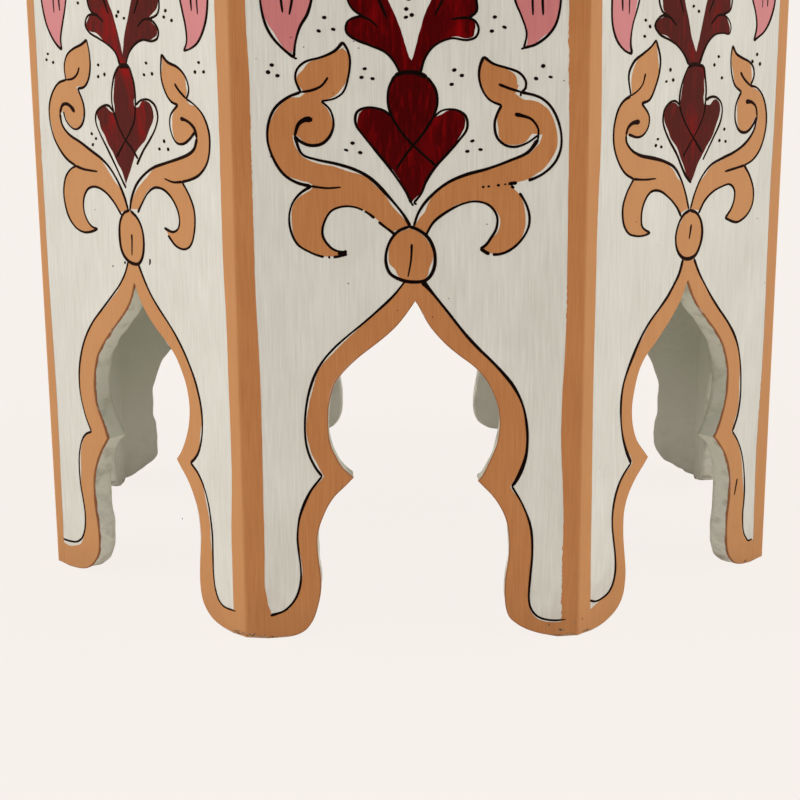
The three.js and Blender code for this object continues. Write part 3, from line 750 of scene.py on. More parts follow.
class Hand:
    """How far a side's drawing strays, how its fills miss its lines, and how heavy these are."""

    def __init__(self, seed, stray=0.0, shift=(0, 0), weight=1.0):
        self.seed = seed
        self.stray = stray
        self.shift = shift
        self.weight = weight
        self.missed = []
        self.dry = []

    def wander(self, u, z, period, seed=0.0):
        return noise.noise_vector(Vector((u / period, z / period, self.seed * SEED_STEP + seed)))

    def point(self, point):
        u, z = point
        far = self.wander(u, z, *FAR) * self.stray
        near = self.wander(u, z, *NEAR) * self.stray * NEAR_SHARE
        return (u + far.x + near.x, z + far.y + near.y)

    def line(self, points, step=LINE_STEP):
        return [self.point(p) for p in smooth_line(points, step)]

    def chain(self, *lines, step=LINE_STEP):
        """Several lines that meet at corners, as one."""
        joined = []
        for line in lines:
            joined += self.line(line, step)[:-1]
        return joined + [self.point(lines[-1][-1])]

    def is_dry(self, point):
        return any(math.dist(point, (u, z)) < reach for u, z, reach in self.dry)

    def missed_by(self, u, z):
        """How much further the paint stops short of its line, close to a spot that the brush missed."""
        return sum(
            depth * math.exp(-((u - at_u)**2 + (z - at_z)**2) / reach**2)
            for at_u, at_z, reach, depth in self.missed
        )

    def beside(self, line, inset, roughness=0.8, shifted=True, closed=False):
        """A line moved to its left by the inset, unevenly, and off by the hand's shift."""
        moved = []
        for i, (u, z) in enumerate(line):
            before = line[i - 1] if i or closed else line[0]
            after = line[(i + 1) % len(line)] if i + 1 < len(line) or closed else line[-1]
            along = Vector((after[0] - before[0], after[1] - before[1]))
            if along.length < MERGED:
                continue
            along.normalize()
            uneven = self.wander(u, z, *EDGE).x
            uneven += self.wander(u, z, *FINE_EDGE).x * FINE_EDGE_SHARE
            deep = inset + uneven * roughness + math.copysign(self.missed_by(u, z) * MISSED, inset)
            shift = self.shift if shifted else (0, 0)
            moved.append((u - along.y * deep + shift[0], z + along.x * deep + shift[1]))
        return moved

    def fill(self, *lines, inset=0.35, roughness=0.8):
        """A patch of paint inside the given lines, which run round it and meet at corners."""
        outline = self.chain(*lines)[:-1]
        area = sum(a[0] * b[1] - b[0] * a[1] for a, b in zip(outline, outline[1:] + outline[:1]))
        return self.beside(outline, math.copysign(inset, area), roughness, closed=True)


def new_curve(name, middle, **settings):
    """A flat curve object, without lines yet, at some height over its side."""
    data = bpy.data.curves.new(name, "CURVE")
    data.dimensions = "2D"
    for setting, value in settings.items():
        setattr(data, setting, value)
    shape = bpy.data.objects.new(name, data)
    shape.location.z = middle * MM
    bpy.context.collection.objects.link(shape)
    return shape


def add_line(shape, points, closed):
    spline = shape.data.splines.new("POLY")
    spline.points.add(len(points) - 1)
    for point, (u, z) in zip(spline.points, points):
        point.co = (u * MM, z * MM, 0, 1)
    spline.use_cyclic_u = closed
    return spline.points


def flat_curve(name, outlines, height, middle):
    """A flat shape of some height as a curve object. Outlines after the first are holes."""
    shape = new_curve(name, middle, fill_mode="BOTH", extrude=height / 2 * MM)
    for outline in outlines:
        add_line(shape, outline, closed=True)
    return shape


def film(name, outlines, level):
    """One flat patch of paint, standing the given level above the wood."""
    return flat_curve(name, outlines, level + FILM_SINK, (level - FILM_SINK) / 2)


def as_mesh(name, parts):
    """Turns curves into one mesh piece with its seams closed and its faces outwards."""
    choose(*parts)
    bpy.ops.object.convert(target="MESH")
    if len(parts) > 1:
        bpy.ops.object.join()
    piece = bpy.context.object
    rename(piece, name)
    bpy.ops.object.transform_apply(location=True, rotation=True, scale=True)
    edit(piece)
    bpy.ops.mesh.remove_doubles(threshold=MERGED)
    bpy.ops.mesh.normals_make_consistent(inside=False)
    leave_edit()
    return piece


def paint_films(name, outlines, level=FILL_LEVEL):
    """Several patches of one paint as one piece, each a hair above the one before."""
    levels = [level + i % FILL_LEVELS * FILL_LEVEL_STEP for i in range(len(outlines))]
    return as_mesh(name, [film(name, [outline], height) for outline, height in zip(outlines, levels)])


# A brush line's section for one millimetre of width: sunk edges and a low round back
LINE_SECTION = [(-1, -0.25), (-0.8, 0.02), (-0.3, 0.06), (0.3, 0.06), (0.8, 0.02), (1, -0.25)]


def between(start, end, share):
    return (start[0] + (end[0] - start[0]) * share, start[1] + (end[1] - start[1]) * share)


def rounded_off(points):
    """A stroke with one more point close to each end, so that the brush's tip can round it."""
    def near(end, inward):
        return between(end, inward, min(0.5, TIP_REACH / max(math.dist(end, inward), 0.01)))
    return [points[0], near(points[0], points[1]), *points[1:-1], near(points[-1], points[-2]), points[-1]]


def broken_up(strokes, hand):
    """The same strokes, in dashes where the brush ran dry."""
    pieces = []
    for points, widths in strokes:
        if not any(hand.is_dry(point) for point in points):
            pieces.append((points, widths))
            continue
        finer = [points[0]]
        for a, b in zip(points, points[1:]):
            finer += [between(a, b, share) for share in (1 / 3, 2 / 3, 1)]
        run = []
        for u, z in finer:
            if hand.is_dry((u, z)) and hand.wander(u, z, *DASHES).x > DASH_GAP:
                pieces.append((run, widths))
                run = []
            else:
                run.append((u, z))
        pieces.append((run, widths))
    return [(points, widths) for points, widths in pieces if len(points) > 1]


def width_at(point, ends, widths, change):
    """A brush line's width at a point, from its widths at the start, in the middle and at the end."""
    start, middle, end = widths
    from_start, from_end = (math.dist(tip, point) for tip in ends)
    width = middle + (start - middle) * math.exp(-from_start / BLOB_REACH)
    width += (end - middle) * math.exp(-from_end / BLOB_REACH)
    width *= change
    to_tip = min(from_start, from_end)
    if to_tip < width / 2:
        width *= max(BLUNT_END, math.sqrt(1 - (1 - 2 * to_tip / width)**2))
    return width


def line_work(name, strokes, hand):
    """All brush lines of a side as one piece. A stroke is its points and its three widths."""
    section = new_curve("line_section", 0)
    add_line(section, [(across / 2, up) for across, up in LINE_SECTION], closed=True)
    drawn = new_curve(
        name, LINE_LEVEL, fill_mode="NONE", bevel_mode="OBJECT", bevel_object=section, use_fill_caps=True,
    )
    for number, (points, widths) in enumerate(broken_up(strokes, hand)):
        points = rounded_off(points)
        ends = (points[0], points[-1])
        for made, (u, z) in zip(add_line(drawn, points, closed=False), points):
            change = hand.weight * (1 + WIDTH_CHANGE * hand.wander(u, z, WIDTH_PERIOD, 2 + number).x)
            made.radius = width_at((u, z), ends, widths, change)
    piece = as_mesh(name, [drawn])
    bpy.data.objects.remove(section)
    return piece


# Paints, primer, wood and steel

def srgb(red, green, blue):
    """A colour as read off a photograph, 0 to 255, as the renderer wants it."""
    def linear(value):
        value /= 255
        return value / 12.92 if value <= 0.04045 else ((value + 0.055) / 1.055) ** 2.4
    return (linear(red), linear(green), linear(blue), 1)


def set_inputs(tree, node, values):
    """Inputs are given as plain values or as other nodes' outputs."""
    for name, value in values.items():
        if isinstance(value, bpy.types.NodeSocket):
            tree.links.new(value, node.inputs[name])
        else:
            node.inputs[name].default_value = value


def add_node(tree, kind, inputs=None, **settings):
    made = tree.nodes.new(kind)
    for name, value in settings.items():
        setattr(made, name, value)
    set_inputs(tree, made, inputs or {})
    return made


def calculate(tree, operation, *values):
    inputs = dict(enumerate(values))
    return add_node(tree, "ShaderNodeMath", inputs, operation=operation).outputs[0]


def mix_colour(tree, share, first, second):
    inputs = {"Factor": share, 6: first, 7: second}
    return add_node(tree, "ShaderNodeMix", inputs, data_type="RGBA").outputs[2]


def times(tree, first, second):
    return calculate(tree, "MULTIPLY", first, second)


def tinted(tree, colour, mask, share, tone):
    """A colour with a share of a tone over it, where the mask says so."""
    return mix_colour(tree, times(tree, mask, share), colour, tone)


def noise_node(tree, place, size, stretch=(1, 1, 1), detail=3, roughness=0.5, distortion=0.0):
    """Noise of the given size in millimetres, stretched along the axes."""
    scale = tuple(1 / (size * MM * along) for along in stretch)
    mapping = add_node(tree, "ShaderNodeMapping", {"Vector": place, "Scale": scale})
    inputs = {"Vector": mapping.outputs[0], "Scale": 1.0, "Detail": detail, "Roughness": roughness}
    inputs["Distortion"] = distortion
    return add_node(tree, "ShaderNodeTexNoise", inputs).outputs[0]


def ramp(tree, value, low, high):
    """Nought below low, one above high, and smooth between."""
    inputs = {"Value": value, "From Min": low, "From Max": high}
    return add_node(tree, "ShaderNodeMapRange", inputs, interpolation_type="SMOOTHSTEP").outputs[0]


VECTOR, FLOAT = "NodeSocketVector", "NodeSocketFloat"


def new_group(name, inputs, outputs):
    """An effect that several finishes share, with its named inputs and outputs."""
    tree = bpy.data.node_groups.new(name, "ShaderNodeTree")
    for socket, kind in inputs.items():
        tree.interface.new_socket(socket, in_out="INPUT", socket_type=kind)
    for socket in outputs:
        tree.interface.new_socket(socket, in_out="OUTPUT", socket_type=FLOAT)
    return tree, tree.nodes.new("NodeGroupInput").outputs, tree.nodes.new("NodeGroupOutput").inputs


def use_group(tree, group, **inputs):
    made = add_node(tree, "ShaderNodeGroup", node_tree=group)
    set_inputs(tree, made, inputs)
    return made.outputs


def make_brushwork():
    """Marks of a flat brush along a side's height: fine hairs, and bands of thick and thin paint."""
    inputs = {"Place": VECTOR, "Contrast": FLOAT}
    tree, given, made = new_group("brushwork", inputs, ["Streaks", "Tint", "Height"])
    hairs = noise_node(tree, given["Place"], 0.6, (1, 38, 1), detail=2)
    strokes = noise_node(tree, given["Place"], 1.7, (1, 17, 1), distortion=0.5)
    patches = noise_node(tree, given["Place"], 26, (1, 1.8, 1), detail=3)
    total = times(tree, hairs, 0.45)
    total = calculate(tree, "MULTIPLY_ADD", strokes, 0.25, total)
    total = calculate(tree, "MULTIPLY_ADD", patches, 0.3, total)
    centred = calculate(tree, "SUBTRACT", total, 0.5)
    streaks = calculate(tree, "MULTIPLY_ADD", centred, given["Contrast"], 0.5)
    tree.links.new(calculate(tree, "MINIMUM", calculate(tree, "MAXIMUM", streaks, 0), 1), made["Streaks"])
    blots = noise_node(tree, given["Place"], 2.2, (1, 7, 1), detail=4, roughness=0.65, distortion=0.3)
    tree.links.new(ramp(tree, blots, 0.48, 0.72), made["Tint"])
    tree.links.new(total, made["Height"])
    return tree


def make_flecks():
    """Tiny dark spatters from the line brush, a few to the hand's breadth."""
    tree, given, made = new_group("flecks", {"Place": VECTOR}, ["Fleck"])
    cells = add_node(tree, "ShaderNodeTexVoronoi", {"Vector": given["Place"], "Scale": 72.0}).outputs
    chosen = add_node(tree, "ShaderNodeSeparateXYZ", {0: cells["Color"]}).outputs
    size = times(tree, calculate(tree, "SUBTRACT", chosen["X"], 0.62), 0.075)
    inside = calculate(tree, "SUBTRACT", size, cells["Distance"])
    tree.links.new(ramp(tree, inside, -0.004, 0.006), made["Fleck"])
    return tree


def make_foot_wear():
    """Where paint is rubbed and chipped off close to the floor."""
    tree, given, made = new_group("foot_wear", {"Place": VECTOR, "Reach": FLOAT}, ["Worn", "Grime"])
    up = add_node(tree, "ShaderNodeSeparateXYZ", {0: given["Place"]}).outputs["Y"]
    chips = noise_node(tree, given["Place"], 5, (1.6, 1, 1), detail=4, roughness=0.6)
    share = calculate(tree, "DIVIDE", up, given["Reach"])
    low = calculate(tree, "SUBTRACT", times(tree, chips, 2.4), share)
    tree.links.new(ramp(tree, low, 0.75, 1.0), made["Worn"])
    clouds = noise_node(tree, given["Place"], 14)
    high = calculate(tree, "DIVIDE", up, 0.05)
    grime = calculate(tree, "SUBTRACT", times(tree, clouds, 1.6), high)
    tree.links.new(ramp(tree, grime, 0.1, 0.9), made["Grime"])
    return tree


def make_smears():
    """Faint smears left by hands and dust."""
    tree, given, made = new_group("smears", {"Place": VECTOR}, ["Smear"])
    wide = noise_node(tree, given["Place"], 30, (1, 1.7, 1), detail=4, roughness=0.6, distortion=1.2)
    tree.links.new(ramp(tree, wide, 0.52, 0.78), made["Smear"])
    return tree


def make_wood_grain():
    """Growth rings and pores of pale wood, running along the second axis."""
    tree, given, made = new_group("wood_grain", {"Place": VECTOR}, ["Rings", "Pores"])
    bend = noise_node(tree, given["Place"], 60, (1, 4, 1), detail=2)
    inputs = {"Vector": given["Place"], "Scale": (150, 8, 150)}
    drawn_out = add_node(tree, "ShaderNodeMapping", inputs).outputs[0]
    bent = add_node(tree, "ShaderNodeVectorMath", {0: drawn_out, 1: bend}, operation="ADD").outputs[0]
    inputs = {"Vector": bent, "Scale": 0.35, "Distortion": 5.0, "Detail": 2.0, "Detail Scale": 1.5}
    tree.links.new(add_node(tree, "ShaderNodeTexWave", inputs).outputs["Fac"], made["Rings"])
    tree.links.new(noise_node(tree, given["Place"], 0.5, (1, 22, 1), detail=2), made["Pores"])
    return tree


BRUSHWORK = make_brushwork()
FLECKS = make_flecks()
FOOT_WEAR = make_foot_wear()
SMEARS = make_smears()
WOOD_GRAIN = make_wood_grain()

WORN_WOOD_PALE = srgb(196, 160, 118)
WORN_WOOD_DARK = srgb(128, 92, 62)
FLECK_DARK = srgb(40, 26, 20)


def new_material(name, roughness, gloss=0.5):
    material = bpy.data.materials.new(name)
    material.use_nodes = True
    tree = material.node_tree
    shader = tree.nodes["Principled BSDF"]
    shader.inputs["Roughness"].default_value = roughness
    shader.inputs["Specular IOR Level"].default_value = gloss
    place = add_node(tree, "ShaderNodeAttribute", attribute_name="place").outputs["Vector"]
    return material, tree, place


def finish_material(material, colour, height, distance):
    """Gives a material its colour and raises it by the height."""
    tree = material.node_tree
    inputs = {"Height": height, "Distance": distance * MM}
    normal = add_node(tree, "ShaderNodeBump", inputs).outputs[0]
    set_inputs(tree, tree.nodes["Principled BSDF"], {"Base Color": colour, "Normal": normal})
    return material


def wear_off(tree, place, colour, reach):
    """Paint rubbed through to the wood within some reach of the floor, and grimy a little higher."""
    wear = use_group(tree, FOOT_WEAR, Place=place, Reach=reach * MM)
    colour = tinted(tree, colour, wear["Grime"], 0.14, WORN_WOOD_DARK)
    wood = mix_colour(tree, noise_node(tree, place, 1.2, (3, 1, 1)), WORN_WOOD_DARK, WORN_WOOD_PALE)
    return mix_colour(tree, wear["Worn"], colour, wood)


def brushed_paint(
    name, thin, thick, tint, contrast, roughness, gloss, depth,
    worn=None, smear=None, flecks=None, thin_spots=None, painted_sheen=None,
):
    """Paint laid with a brush: two tones in streaks and a tint, raised along the hairs, worn low down, with
    a painted sheen.
    """
    material, tree, place = new_material(name, roughness, gloss)
    brush = use_group(tree, BRUSHWORK, Place=place, Contrast=contrast)
    colour = mix_colour(tree, brush["Streaks"], thin, thick)
    colour = tinted(tree, colour, brush["Tint"], *tint)
    # Painted sheen: the colour turns towards a paler tone as the surface turns away from the view
    if painted_sheen:
        facing = add_node(tree, "ShaderNodeLayerWeight", {"Blend": 0.5}).outputs["Facing"]
        colour = mix_colour(tree, facing, colour, painted_sheen)
    if flecks:
        colour = tinted(tree, colour, use_group(tree, FLECKS, Place=place)["Fleck"], flecks, FLECK_DARK)
    if thin_spots:
        bare = ramp(tree, noise_node(tree, place, 12, detail=2), 0.64, 0.72)
        colour = tinted(tree, colour, bare, *thin_spots)
    if smear:
        colour = tinted(tree, colour, use_group(tree, SMEARS, Place=place)["Smear"], *smear)
    if worn:
        colour = wear_off(tree, place, colour, worn)
    return finish_material(material, colour, brush["Height"], depth)


def make_primer():
    """Grey-green primer, lumpy over the sawn edge and smoother inside, with tan run over its rim, painted
    lighter near the floor and with painted light and shade on its lumps.
    """
    material, tree, place = new_material("grey_primer", 0.6)
    fine = noise_node(tree, place, 2.2, (1, 1, 1.6), detail=4, roughness=0.6)
    lumps = noise_node(tree, place, 9, (1, 1, 1.5))
    colour = mix_colour(tree, noise_node(tree, place, 35), srgb(210, 211, 191), srgb(220, 221, 203))
    split = add_node(tree, "ShaderNodeSeparateXYZ", {0: place}).outputs
    height, depth = split["Y"], split["Z"]
    # Painted light: the primer turns lighter within 10 cm of the floor, where the lower arches are less
    # shaded
    colour = mix_colour(tree, ramp(tree, height, 0.1, 0.0), colour, srgb(238, 235, 220))
    sawn = ramp(tree, depth, -0.0119, -0.011)
    # Painted light and shade on the sawn edge: lighter where its lumps stand up, darker where they sink
    colour = tinted(tree, colour, ramp(tree, lumps, 0.5, 0.68), sawn, srgb(219, 216, 200))
    colour = tinted(tree, colour, ramp(tree, lumps, 0.52, 0.26), sawn, srgb(188, 184, 166))
    stain = ramp(tree, fine, 0.6, 0.8)
    colour = tinted(tree, colour, stain, times(tree, sawn, 0.35), srgb(196, 190, 170))
    reach = times(tree, noise_node(tree, place, 7), 0.0028)
    run_over = ramp(tree, calculate(tree, "ADD", depth, reach), 0.0001, 0.0006)
    colour = mix_colour(tree, run_over, colour, srgb(160, 100, 60))
    colour = wear_off(tree, place, colour, 2)
    return finish_material(material, colour, calculate(tree, "MULTIPLY_ADD", fine, 0.35, lumps), 0.7)


def make_bare_wood():
    material, tree, place = new_material("bare_wood", 0.65)
    grain = use_group(tree, WOOD_GRAIN, Place=place)
    colour = mix_colour(tree, grain["Rings"], srgb(172, 134, 92), srgb(205, 170, 126))
    colour = mix_colour(tree, ramp(tree, grain["Pores"], 0.55, 0.75), colour, srgb(138, 102, 68))
    smears = use_group(tree, SMEARS, Place=place)["Smear"]
    colour = tinted(tree, colour, smears, 0.3, srgb(110, 92, 74))
    return finish_material(material, colour, grain["Pores"], 0.08)


def make_chipped_wood():
    """Wood where paint was knocked off, dirty in its pores, with scraps of paint left on it."""
    material, tree, place = new_material("chipped_wood", 0.7, 0.2)
    grime = noise_node(tree, place, 1.1, (2, 1, 1))
    colour = mix_colour(tree, grime, srgb(118, 78, 48), srgb(206, 158, 112))
    scraps = ramp(tree, noise_node(tree, place, 0.9, detail=2), 0.5, 0.6)
    colour = mix_colour(tree, scraps, colour, srgb(72, 52, 38))
    return finish_material(material, colour, scraps, 0.1)


def make_steel():
    """Zinc-grey steel of nails and screws, a little stained."""
    material, tree = new_material("fixing_steel", 0.4)[:2]
    stain = noise_node(tree, add_node(tree, "ShaderNodeTexCoord").outputs["Object"], 2)
    inputs = {"Value": stain, "To Min": 0.5, "To Max": 0.3}
    set_inputs(tree, tree.nodes["Principled BSDF"], {
        "Base Color": mix_colour(tree, stain, srgb(120, 116, 110), srgb(186, 184, 180)),
        "Roughness": add_node(tree, "ShaderNodeMapRange", inputs).outputs[0],
        "Metallic": 1.0,
    })
    return material


ground_paint = brushed_paint(
    "pale_ground_paint", srgb(204, 201, 189), srgb(224, 222, 212), (0.3, srgb(214, 203, 194)),
    3.2, 0.6, 0.15, 0.04, worn=1.2, smear=(0.1, srgb(176, 172, 162)), flecks=0.6,
)
# The last tone is a painted sheen: the tan turns paler towards grazing angles
tan_paint = brushed_paint(
    "tan_paint", srgb(169, 104, 51), srgb(193, 128, 72), (0.25, srgb(174, 102, 56)),
    2.6, 0.5, 0.3, 0.04, worn=3, flecks=0.7, painted_sheen=srgb(205, 152, 97),
)
# Tan over the arrises, darker than the tan paint as painted shade on the rounded edge; its thin spots are
# primer showing through
arris_paint_with_painted_shade = brushed_paint(
    "tan_over_arris_painted_shade", srgb(134, 80, 44), srgb(172, 110, 64), (0.3, srgb(110, 68, 42)),
    3, 0.5, 0.3, 0.04, worn=3, thin_spots=(0.5, srgb(214, 206, 188)),
)
# The last tone is a painted sheen: the red turns greyer and paler towards grazing angles
red_paint = brushed_paint(
    "dark_red_paint", srgb(58, 1, 2), srgb(84, 1, 3), (0.6, srgb(136, 4, 8)),
    3, 0.4, 0.02, 0.05, smear=(0.75, srgb(158, 6, 12)), painted_sheen=srgb(92, 53, 46),
)
# The last tone is a painted sheen: the pink turns paler towards grazing angles
pink_paint = brushed_paint(
    "pink_paint", srgb(185, 104, 105), srgb(205, 125, 123), (0.25, srgb(207, 122, 112)),
    2.6, 0.5, 0.3, 0.04, painted_sheen=srgb(212, 140, 142),
)
# The last tone is a painted sheen: the black turns lighter brown towards grazing angles
black_paint = brushed_paint(
    "black_line_paint", srgb(6, 1, 1), srgb(17, 7, 4), (0.2, srgb(28, 12, 6)),
    3, 0.5, 0.02, 0.03, painted_sheen=srgb(48, 22, 12),
)
primer = make_primer()
chipped_wood = make_chipped_wood()
bare_wood = make_bare_wood()
steel = make_steel()


# The side boards

MITRE_LINE = 0.04
CORNER_ROUNDING = 2.5
CORNER_FACETS = (7.5, 15, 22.5)
CORNER_WEAR = 0.6
ARRIS_RADIUS = 0.7
RUN_OVER = 1.2
INNER_ROUNDING = 3.6
ROUNDING_TURNS = (0, 18, 36, 54, 72)
SMOOTH_TURN = 32
SIDE_OFFSET = 0.4

# The sawn arch: its steps, its reach across and up, how its inner edge was rasped, and how it wanders
# on the sides behind, which are a little wider and rounder at the feet
ARCH_STEP = 1.6
ARCH_ROWS = (-3, -5.6, -8)
ARCH_REACH = 69
ARCH_HEIGHTS = (0.4, 175)
ARCH_CLEAR = 200
ARCH_LUMPS = 0.7
LUMP_WIDTH = 9
LUMP_DEPTH = 7
LUMP_SEED_STEP = 5.1
RASPED_HEIGHT = 112
RASPED_REACH = 30
LEAST_RASPED = 0.18
RASPED_AT_CORNERS = 0.4
CORNER_TURN = math.radians(20)
FOOT_HEIGHT = 20
BACK_SIDES = (3, 4, 5)
WIDER_ARCH = 2.6
WIDENING_REACH = 25
FOOT_ROUNDING = 2.2
FOOT_ROUNDING_HEIGHT = 25
FOOT_ROUNDING_WIDTH = 15

# Where paint on a side ends, short of its corners and its upper edge
PAINT_END = HALF_SIDE - 1.1
PAINT_TOP = BOARD_HEIGHT - 0.3


def bisect_off(plane_at, plane_normal):
    """Cuts away what stands beyond the plane and closes the cut."""
    bpy.ops.mesh.select_all(action="SELECT")
    bpy.ops.mesh.bisect(
        plane_co=Vector(plane_at) * MM, plane_no=plane_normal, use_fill=True, clear_outer=True,
    )


def select_edges(piece, wanted):
    """Selects edges in edit mode by their two ends, in millimetres."""
    bpy.ops.mesh.select_mode(type="EDGE")
    bpy.ops.mesh.select_all(action="DESELECT")
    bpy.ops.object.mode_set(mode="OBJECT")
    points = piece.data.vertices
    for edge in piece.data.edges:
        a, b = (points[i].co / MM for i in edge.vertices)
        edge.select = wanted(a, b)
    bpy.ops.object.mode_set(mode="EDIT")


def arch_line(k, drawing, hand):
    """The sawn edge, from the left foot up to the tip and down to the right foot."""
    wider, worn = (WIDER_ARCH, FOOT_ROUNDING) if k in BACK_SIDES else (0, 0)
    settled = []
    for u, z in Hand(0).chain(*drawing["arch"], step=ARCH_STEP):
        stray = hand.wander(u, z, *FAR) * hand.stray * min(1, z / FOOT_HEIGHT)
        out = math.copysign(wider * min(1, abs(u) / WIDENING_REACH, z / FOOT_HEIGHT), u)
        rise = worn * max(0, 1 - z / FOOT_ROUNDING_HEIGHT)
        rise *= min(1, (HALF_SIDE - abs(u)) / FOOT_ROUNDING_WIDTH)
        settled.append((u + stray.x + out, z + stray.y + rise))
    return settled


def ways_into_wood(arch):
    """The sawn edge's points with their ways into the wood, shorter near its corners and the floor."""
    steps = [Vector(b) - Vector(a) for a, b in zip(arch, arch[1:])]
    corners = [p for p, a, b in zip(arch[1:], steps, steps[1:]) if a.angle(b) > CORNER_TURN]
    ways = []
    for i, (u, z) in enumerate(arch):
        before, after = steps[max(i - 1, 0)], steps[min(i, len(steps) - 1)]
        along = (before.normalized() + after.normalized()).normalized()
        to_corner = min(math.dist((u, z), corner) for corner in corners)
        rasped = 0.5 + 0.5 * math.exp(-((z - RASPED_HEIGHT) / RASPED_REACH)**2)
        share = min(rasped, LEAST_RASPED + RASPED_AT_CORNERS * to_corner / INNER_ROUNDING, z / 9)
        ways.append((u, z, -along.y * share, along.x * share))
    return ways


def make_board(name, arch, seed):
    """A board sawn to its outline, its arrises softened, mitred, and its corners rounded over."""
    right_edge = [(HALF_SIDE, CORNER_WEAR), (HALF_SIDE, BOARD_HEIGHT)]
    left_edge = [(-HALF_SIDE, BOARD_HEIGHT), (-HALF_SIDE, CORNER_WEAR)]
    board = as_mesh(name, [flat_curve(name, [arch + right_edge + left_edge], THICKNESS, -THICKNESS / 2)])
    edit(board)
    bpy.ops.mesh.dissolve_limited(angle_limit=math.radians(0.05))

    select_edges(board, lambda a, b: max(abs(a.z), abs(b.z)) < LEVEL and max(a.y, b.y) < ARCH_CLEAR)
    bpy.ops.mesh.bevel(offset=ARRIS_RADIUS * MM, offset_type="OFFSET", segments=3, affect="EDGES")
    for side in (-1, 1):
        mitre = Vector((side * math.cos(HALF_TURN), 0, -math.sin(HALF_TURN)))
        corner = Vector((side * HALF_SIDE, 0, 0))
        bisect_off(corner - mitre * MITRE_LINE / 2, mitre)
        centre = corner - Vector((side * CORNER_ROUNDING * math.tan(HALF_TURN), 0, CORNER_ROUNDING))
        for facet in CORNER_FACETS:
            outward = Vector((side * math.sin(math.radians(facet)), 0, math.cos(math.radians(facet))))
            bisect_off(centre + outward * CORNER_ROUNDING, outward)
    start = INNER_ROUNDING - THICKNESS
    rounding_rows = [start - INNER_ROUNDING * math.sin(math.radians(turn)) for turn in ROUNDING_TURNS]
    for row in list(ARCH_ROWS) + rounding_rows:
        bpy.ops.mesh.select_all(action="SELECT")
        bpy.ops.mesh.bisect(plane_co=(0, 0, row * MM), plane_no=(0, 0, 1))
    leave_edit()
    ways = ways_into_wood(arch)
    for vertex in board.data.vertices:
        u, z, depth = vertex.co / MM
        in_arch = abs(u) <= ARCH_REACH and ARCH_HEIGHTS[0] < z < ARCH_HEIGHTS[1]
        if depth > -ARRIS_RADIUS - 0.1 or not in_arch:
            continue
        rise = max(0, min(1, (start - depth) / INNER_ROUNDING))
        layer = depth / LUMP_DEPTH + seed * LUMP_SEED_STEP
        lump = noise.noise_vector(Vector((u / LUMP_WIDTH, z / LUMP_WIDTH, layer)))
        lump *= ARCH_LUMPS + ARCH_LUMPS * rise
        rounded = (1 - math.sqrt(1 - rise * rise)) * INNER_ROUNDING
        across, up = min(ways, key=lambda way: (way[0] - u)**2 + (way[1] - z)**2)[2:]
        vertex.co += Vector((lump.x + across * rounded, lump.y + up * rounded, 0)) * MM
    return board


def paint_board(board):
    """The ground on the face, tan run over its arrises and corners in a darker tan that paints their shade,
    and primer everywhere else.
    """
    for face in board.data.polygons:
        out = face.normal.z
        deep = -face.center.z / MM
        on_face = out > 0.99 and deep < 0.05
        on_arris = out > 0.2 and deep < RUN_OVER
        on_corner = out > 0.5 and abs(face.center.x) / MM > HALF_SIDE - RUN_OVER
        face.material_index = 0 if on_face else 1 if on_arris or on_corner else 2


def add_board(k, drawing, hand):
    arch = arch_line(k, drawing, hand)
    board = make_board(f"{SIDES[k]}_side", arch, hand.seed)
    paint_board(board)
    mark_place(board, place_on_side(k))
    smooth_up_to(board, SMOOTH_TURN)
    edit(board)
    select_edges(board, lambda a, b: min(a.z, b.z) > -LEVEL or max(a.z, b.z) < LEVEL - THICKNESS)
    bpy.ops.mesh.mark_sharp()
    leave_edit()
    put(board, side_place(k))
    finish_piece(board, "painted_board", ground_paint, arris_paint_with_painted_shade, primer)
    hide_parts(f"{SIDES[k]}_board")
    return arch


# The ornament

SCROLL_OUTLINE = ("curl", "leaf_front", "leaf_back", "back", "hook_back", "hook_front")
PALMETTE_OUTLINE = ("core_left", "core_right", "lobe_left", "lobe_right", "tail_left", "tail_right")
CHIP_POINTS = 14
CHIP_RAGGEDNESS = 0.7


def palmette_fill(hand, palmette):
    right, left = palmette["lobe_right"], palmette["lobe_left"]
    return hand.fill(
        palmette["cap"], palmette["core_right"], right, [right[-1], left[-1]], left[::-1],
        palmette["core_left"][::-1], **RED_FIT,
    )


def leaves_fill(hand, left, right):
    """The two red leaves over a palmette, in one patch."""
    return hand.fill(
        left["lower"], left["upper"], left["inner"], right["inner"][::-1], right["upper"][::-1],
        right["lower"][::-1], [right["lower"][0], left["lower"][0]], **RED_FIT,
    )


def scroll_fill(hand, scroll):
    return hand.fill(
        scroll["stem"], scroll["curl"], scroll["leaf_front"], scroll["leaf_back"], scroll["back"],
        scroll["hook_back"], scroll["hook_front"][::-1],
    )


def petal_fill(hand, petal):
    """A petal reaches from its lower tip to its upper one, past the level of the turning over."""
    outer, inner = petal["outer"], petal["inner"]
    return hand.fill(outer, turned_over(outer)[::-1], turned_over(inner), inner[::-1])


def dot_stroke(hand, dot, reach=DOT_REACH):
    u, z = hand.point(dot)
    lean = hand.wander(u, z, *LEAN).x * DOT_LEAN * reach
    return [(u - reach, z - lean), (u, z), (u + reach, z + lean)]


